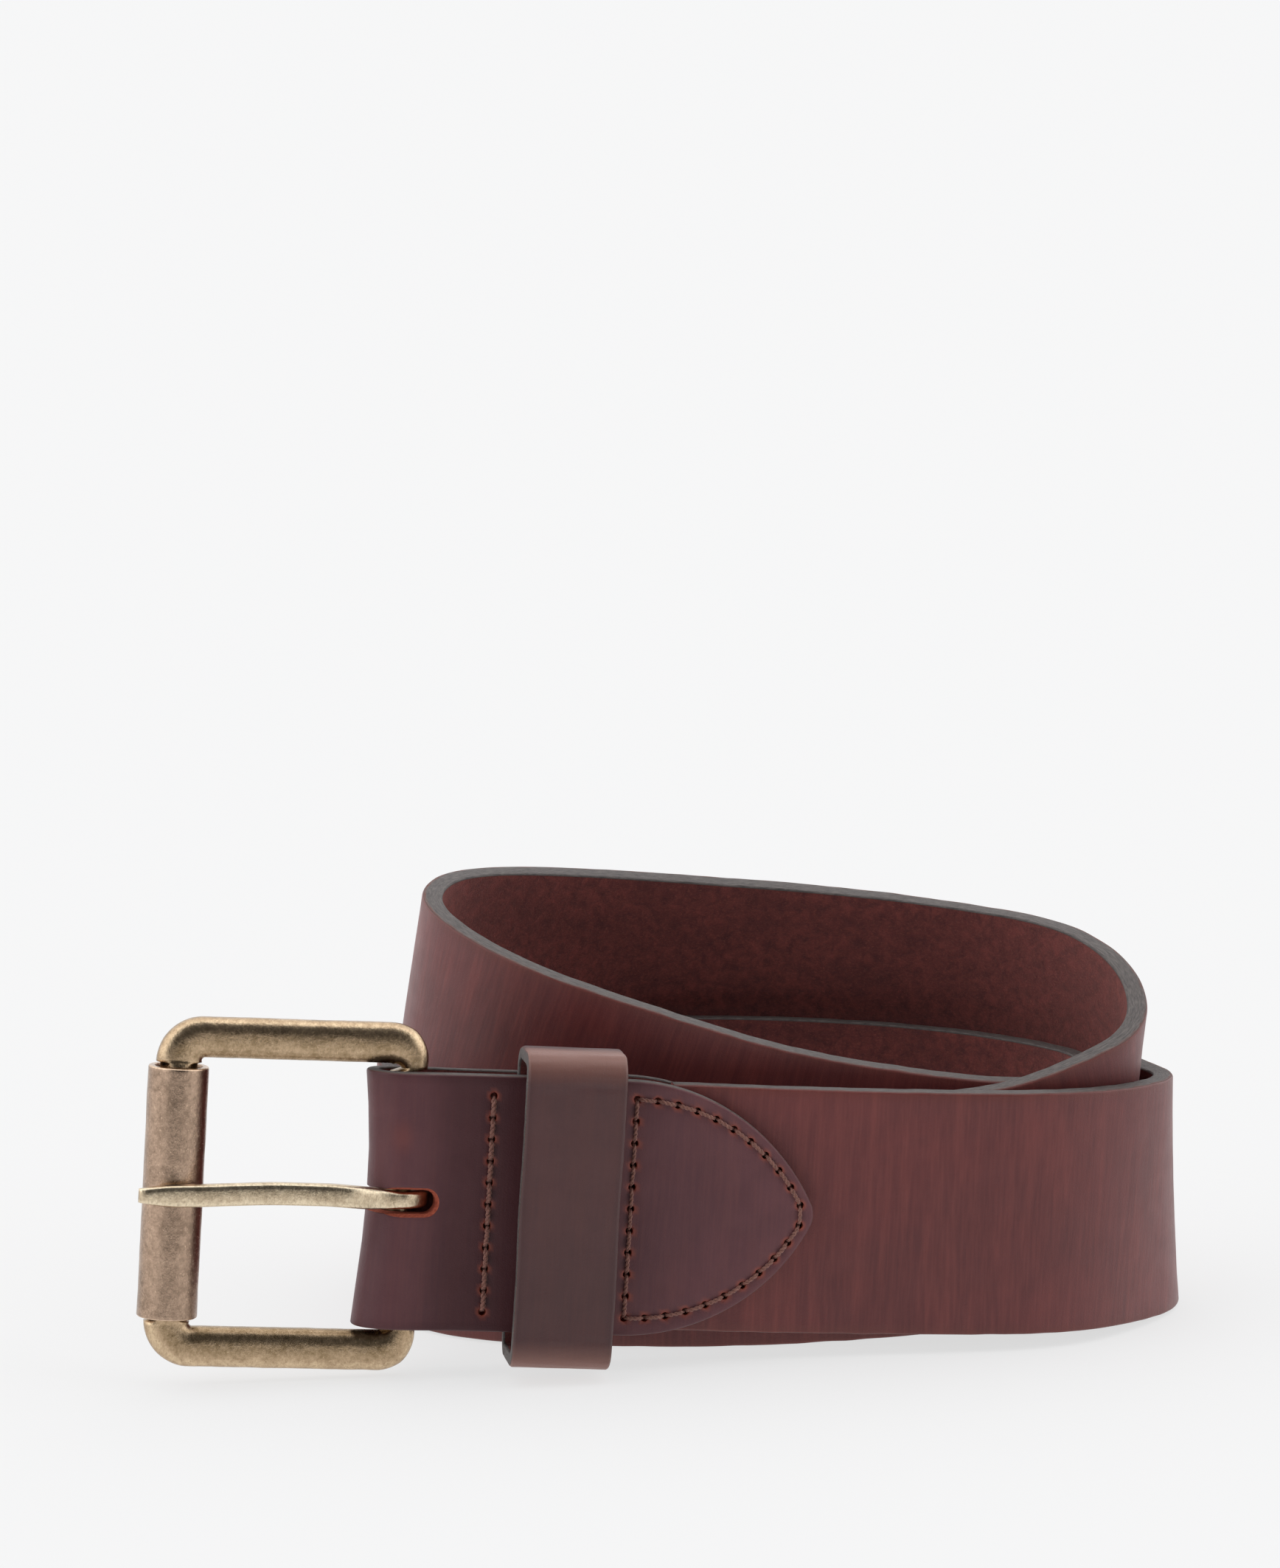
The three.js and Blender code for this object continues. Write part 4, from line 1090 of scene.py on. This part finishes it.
def railRings():
    # x, z, angle of the section, half sizes in the frame's plane and through it, flatness
    quarter = math.pi / 2
    corner, depth = buckle["corner"], buckle["railDepth"] / 2
    right, left, top = buckle["heelSide"] - corner, barX + corner, railTop - corner

    def shoulder(share):
        return min(1, 0.64 + 0.6 * share)

    def bend(cx, cz, start, slimAt, steps=16):
        rows = []
        for i in range(steps + 1):
            share = i / steps
            angle, slim = start + quarter * share, slimAt(share)
            rows.append((cx + corner * math.cos(angle), cz + corner * math.sin(angle), angle,
                         railHalf * slim, depth, buckle["flatness"]))
        return rows

    heel, bar = buckle["heelRadius"], (buckle["barWidth"] / 2, buckle["barDepth"] / 2)
    rows = [(0, 0, 0, heel, heel, 1), (0, 20.3, 0, heel, heel, 1)]
    rows += bend(right, top, 0, shoulder)
    rows += bend(left, top, quarter, lambda share: 1 + 0.12 * share)
    rows += [(barX, z, 2 * quarter, *bar, 1) for z in (barEnd, -barEnd)]
    rows += bend(left, -top, 2 * quarter, lambda share: 1.12 - 0.12 * share)
    rows += bend(right, -top, 3 * quarter, lambda share: shoulder(1 - share))
    rows += [(0, -20.3, 4 * quarter, heel, heel, 1)]
    rows = np.array(rows)
    # more rings along the straight runs, easing from one section to the next
    fine = []
    for a, b in zip(rows, np.vstack([rows[1:], rows[:1] + [0, 0, 2 * math.pi, 0, 0, 0]])):
        steps = max(1, math.ceil(math.hypot(b[0] - a[0], b[1] - a[1]) / 0.7))
        for i in range(steps):
            share = i / steps
            ease = share * share * (3 - 2 * share)
            row = a + (b - a) * share
            row[3:] = a[3:] + (b[3:] - a[3:]) * ease
            fine.append(row)
    return fine


def addWear(piece, values):
    layer = piece.data.attributes.new("wear", "FLOAT", "POINT")
    layer.data.foreach_set("value", np.clip(values, 0, 1).astype(np.float32))


def buildFrame():
    around = 44
    points, wear = [], []
    rings = railRings()
    for x, z, angle, inPlane, through, flatness in rings:
        for i in range(around):
            turn = 2 * math.pi * i / around
            c, s = math.cos(turn), math.sin(turn)
            reach = inPlane * math.copysign(abs(c) ** flatness, c)
            depth = through * math.copysign(abs(s) ** flatness, s)
            points.append((x + reach * math.cos(angle), depth, z + reach * math.sin(angle)))
            ridge = abs(math.sin(2 * turn)) ** 3
            wear.append(0.40 + 0.45 * ridge * (0.6 + 0.4 * (c > 0)) - 0.25 * (c < -0.5))
    points = np.array(points)
    rough = noiseAt(points, 0.35, 11.0) * 0.05 + noiseAt(points, 1.3, 3.0) * 0.02
    centre = np.repeat([[x, 0, z] for x, z, *_ in rings], around, axis=0)
    points += unit(points - centre) * (rough - 0.05)[:, None]
    faces = gridFaces(len(rings), around, True)
    piece = meshPiece("buckleFrame", onHeel(points), faces, [frameBrass])
    addWear(piece, np.array(wear))
    return cleaned(piece)


def buildRoller():
    outer, inner = rollerOuter, rollerOuter - buckle["rollerWall"]
    length = 2 * (barEnd - buckle["rollerEndGap"])
    half, lip = length / 2, 0.28
    profile = [(outer, z, 0.45) for z in np.linspace(-half + lip, half - lip, 90)]
    profile += [(outer - lip * (1 - math.cos(t)), half - lip * (1 - math.sin(t)), 0.95)
                for t in np.radians([25, 50, 75, 90])]
    profile += [(inner + 0.12, half, 0.7), (inner, half - 0.15, 0.3)]
    profile += [(inner, z, 0.1) for z in np.linspace(half - 1, -half + 1, 12)]
    profile += [(inner, -half + 0.15, 0.3), (inner + 0.12, -half, 0.7)]
    profile += [(outer - lip * (1 - math.cos(t)), -half + lip * (1 - math.sin(t)), 0.95)
                for t in np.radians([90, 75, 50, 25])]
    seam = buckle["rollerSeam"] / outer / 2
    turns = np.linspace(math.pi / 2 + seam, 2.5 * math.pi - seam, 97)
    points, wear = [], []
    for turn in turns:
        for radius, z, worn in profile:
            spot = Vector((radius * math.cos(turn), radius * math.sin(turn), z))
            dent = noise.noise(spot * 0.16) * 0.07 + noise.noise(spot * 0.6) * 0.02 - 0.05
            size = radius + (dent if radius > inner + 0.5 else 0)
            points.append((barX + size * math.cos(turn), size * math.sin(turn), z))
            wear.append(worn)
    count = len(profile)
    faces = gridFaces(len(turns), count, False)
    faces += [tuple(range(count)), tuple(range((len(turns) - 1) * count, len(turns) * count))[::-1]]
    piece = meshPiece("rollerTube", onHeel(points), faces, [rollerBrass])
    addWear(piece, np.array(wear))
    cleaned(piece)
    sharpen(piece, 50)
    return piece


def sharpen(piece, angle):
    # sharp edges where faces meet at more than the angle, so that smooth shading keeps them
    work = bmesh.new()
    work.from_mesh(piece.data)
    for edge in work.edges:
        if len(edge.link_faces) == 2 and edge.calc_face_angle(0) > math.radians(angle):
            edge.smooth = False
    work.to_mesh(piece.data)
    work.free()


def catmull(points, steps):
    # a smooth line through the points
    points = np.array(points, float)
    padded = np.vstack([2 * points[0] - points[1], points, 2 * points[-1] - points[-2]])
    line = []
    for i in range(len(points) - 1):
        a, b, c, d = padded[i:i + 4]
        for k in range(steps):
            t = k / steps
            line.append(0.5 * (2 * b + (c - a) * t + (2 * a - 5 * b + 4 * c - d) * t ** 2
                               + (3 * b - a - 3 * c + d) * t ** 3))
    line.append(points[-1])
    return np.array(line)


def buildProng():
    # a side profile swept with a rounded section: top and bottom lines from the tip to the hook's end
    eyeInner = buckle["heelRadius"] + buckle["prongClearance"]
    eyeOuter = eyeInner + buckle["prongEye"]
    rest = -rollerOuter - buckle["gap"]
    thick = buckle["prongThickness"]
    tipX = barX - rollerOuter - buckle["overhang"]
    top = [(tipX, rest - 0.95), (tipX + 0.5, rest - 1.75), (tipX + 3.0, rest - 2.15),
           (barX + rollerOuter, rest - thick + 0.05), (barX / 2, rest - thick + 0.25),
           (-8.5, -eyeOuter - 2.2), (-3.5, -eyeOuter - 0.55), (0, -eyeOuter)]
    bottom = [(tipX + 0.12, rest - 0.75), (tipX + 0.7, rest - 0.2), (tipX + 3.0, rest - 0.05),
              (barX + rollerOuter, rest - 0.02), (barX / 2, rest + 0.25), (-8.5, -eyeInner - 2.1),
              (-3.5, -eyeInner - 0.85), (0, -eyeInner)]
    topLine, bottomLine = catmull(top, 16), catmull(bottom, 16)
    hook = [math.radians(-90 + step) for step in np.linspace(0, 90 + 130, 40)][1:]
    topLine = np.vstack([topLine, [(eyeOuter * math.cos(t), eyeOuter * math.sin(t)) for t in hook]])
    bottomLine = np.vstack([bottomLine, [(eyeInner * math.cos(t), eyeInner * math.sin(t)) for t in hook]])
    half = buckle["prongWidth"] / 2
    around = 28
    points, wear = [], []
    for i, (a, b) in enumerate(zip(topLine, bottomLine)):
        middle, way = (a + b) / 2, (a - b) / 2
        # the tongue narrows towards its tip
        near = np.clip((a[0] - tipX) / 7.0, 0, 1)
        wide = half * (0.62 + 0.38 * math.sin(near * math.pi / 2))
        wide *= 1 - 0.24 * float(smooth01(a[0], -7.0, 1.0))
        bow = float(smooth01(a[0], -42, -17) * (1 - smooth01(a[0], -13, 1))) * 0.9 + 0.15
        for k in range(around):
            turn = 2 * math.pi * k / around
            c, s = math.cos(turn), math.sin(turn)
            u = math.copysign(abs(c) ** 0.55, c)
            w = math.copysign(abs(s) ** 0.55, s)
            points.append((middle[0] + way[0] * u, middle[1] + way[1] * u, wide * w + bow))
            wear.append(0.62 + 0.4 * abs(math.sin(2 * turn)) ** 2 * (c > 0) - 0.15 * (c < -0.3))
    points = np.array(points)
    points[:, 1] += np.where(points[:, 0] < -8, noiseAt(points, 0.22, 6.0) * 0.06 - 0.05, 0)
    points[:, 2] += noiseAt(points, 0.15, 2.0) * 0.06
    faces = gridFaces(len(topLine), around, False)
    faces += [tuple(range(around)), tuple(range((len(topLine) - 1) * around, len(topLine) * around))[::-1]]
    piece = meshPiece("prongTongue", onHeel(points), faces, [prongBrass])
    addWear(piece, np.array(wear))
    return cleaned(piece)


buckle["gap"] = chape["gap"]
framePiece, rollerPiece, prongPiece = buildFrame(), buildRoller(), buildProng()
print("buckle", [len(piece.data.polygons) for piece in (framePiece, rollerPiece, prongPiece)])

# the staple keeps its CAD shape
stapleSteel, stapleTree, stapleShader = bareMaterial("stapleSteel")
stapleNoise = noiseNode(stapleTree, addNode(stapleTree, "ShaderNodeTexCoord").outputs["Object"], 1500.0, 4.0)
stapleColor = mixColors(stapleTree, stapleNoise, (0.42, 0.40, 0.37), (0.62, 0.60, 0.57))
linkNodes(stapleTree, stapleColor, stapleShader.inputs["Base Color"])
stapleShader.inputs["Metallic"].default_value = 1.0
stapleShader.inputs["Roughness"].default_value = 0.32
bumped(stapleTree, stapleShader, stapleNoise, 0.00004)
staple = frame["nodes"]["keeper_staple"]
staple.data.materials.clear()
staple.data.materials.append(stapleSteel)

# which CAD pieces these stand for

for piece, body, node, slotName in (
        (strapPiece, "belt", "strap", "strap_leather"),
        (chapePiece, "belt", "chape", "chape_leather"),
        (threadPieces[0], "belt", "row_thread_front", "thread"),
        (threadPieces[1], "belt", "row_thread_back", "thread"),
        (threadPieces[2], "belt", "panel_thread_front", "thread"),
        (threadPieces[3], "belt", "panel_thread_back", "thread"),
        (keeperPiece, "loop", "keeper", "keeper_leather"),
        (framePiece, "frame", "buckle_frame", "antique_brass"),
        (rollerPiece, "roller", "roller", "antique_brass"),
        (prongPiece, "prong", "prong", "antique_brass")):
    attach(piece, body)
    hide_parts(node)

# floor, light and camera

studio = dict(floorSize=30.0, floorColor=0.22, floorGlow=0.67, zenith=1.55, horizon=0.95, side=0.45, front=0.06)


def buildFloor():
    size = studio["floorSize"]
    steps = 12
    points = [(-size + 2 * size * i / steps, -size + 2 * size * j / steps, 0.0)
              for i in range(steps + 1) for j in range(steps + 1)]
    faces = [(i * (steps + 1) + j, (i + 1) * (steps + 1) + j, (i + 1) * (steps + 1) + j + 1,
              i * (steps + 1) + j + 1) for i in range(steps) for j in range(steps)]
    material, tree, shader = bareMaterial("paleFloor")
    vector = addNode(tree, "ShaderNodeTexCoord").outputs["Object"]
    tone = remap(tree, noiseNode(tree, vector, 9.0, 4.0), 0.3, 0.7, 0.992, 1.0)
    level = studio["floorColor"]
    color = mixColors(tree, tone, (level * 0.97, level * 0.98, level), (level, level, level * 1.003))
    linkNodes(tree, color, shader.inputs["Base Color"])
    shader.inputs["Emission Color"].default_value = (1.0, 1.0, 1.0, 1)
    shader.inputs["Emission Strength"].default_value = studio["floorGlow"]
    shader.inputs["Roughness"].default_value = 0.9
    shader.inputs["Specular IOR Level"].default_value = 0.0
    floor = meshPiece("paleFloor", points, faces, [material])


def buildSky():
    # a soft studio: bright above, paler to the sides, and dark on the side the viewer stands on
    world = bpy.data.worlds.new("studio")
    bpy.context.scene.world = world
    world.use_nodes = True
    tree = world.node_tree
    tree.nodes.clear()
    way = addNode(tree, "ShaderNodeTexCoord").outputs["Generated"]
    split = addNode(tree, "ShaderNodeSeparateXYZ", inputs={0: way})
    rise = remap(tree, split.outputs["Z"], 0.0, 1.0, studio["horizon"], studio["zenith"])
    front = math2(tree, "ADD", math2(tree, "MULTIPLY", split.outputs["Y"], -0.866),
                  math2(tree, "MULTIPLY", split.outputs["Z"], 0.5))
    level = math2(tree, "MULTIPLY", rise, remap(tree, front, 0.70, 0.84, 1.0, studio["front"]))
    side = remap(tree, math2(tree, "ABSOLUTE", split.outputs["X"]), 0.5, 0.9, 0.0, studio["side"])
    level = math2(tree, "ADD", level, side)
    background = addNode(tree, "ShaderNodeBackground", inputs={"Color": (0.985, 0.99, 1.0, 1), "Strength": level})
    output = tree.nodes.new("ShaderNodeOutputWorld")
    tree.links.new(background.outputs[0], output.inputs["Surface"])


buildFloor()
buildSky()

cameraData = bpy.data.cameras.new("camera")
cameraData.sensor_fit = "VERTICAL"
cameraData.sensor_height = 36.0
cameraData.sensor_width = 36.0
cameraData.lens = 134.6
cameraData.clip_start, cameraData.clip_end = 0.05, 100.0
camera = bpy.data.objects.new("camera", cameraData)
camera.location = Vector(hinge["pos_m"]) + Vector((-0.096134, -0.905806, 0.229227))
camera.rotation_euler = (math.radians(90 - 10.11), 0, math.radians(-8.5))
bpy.context.scene.collection.objects.link(camera)
bpy.context.scene.camera = camera
bpy.context.scene.view_settings.view_transform = "Standard"
bpy.context.scene.view_settings.look = "None"
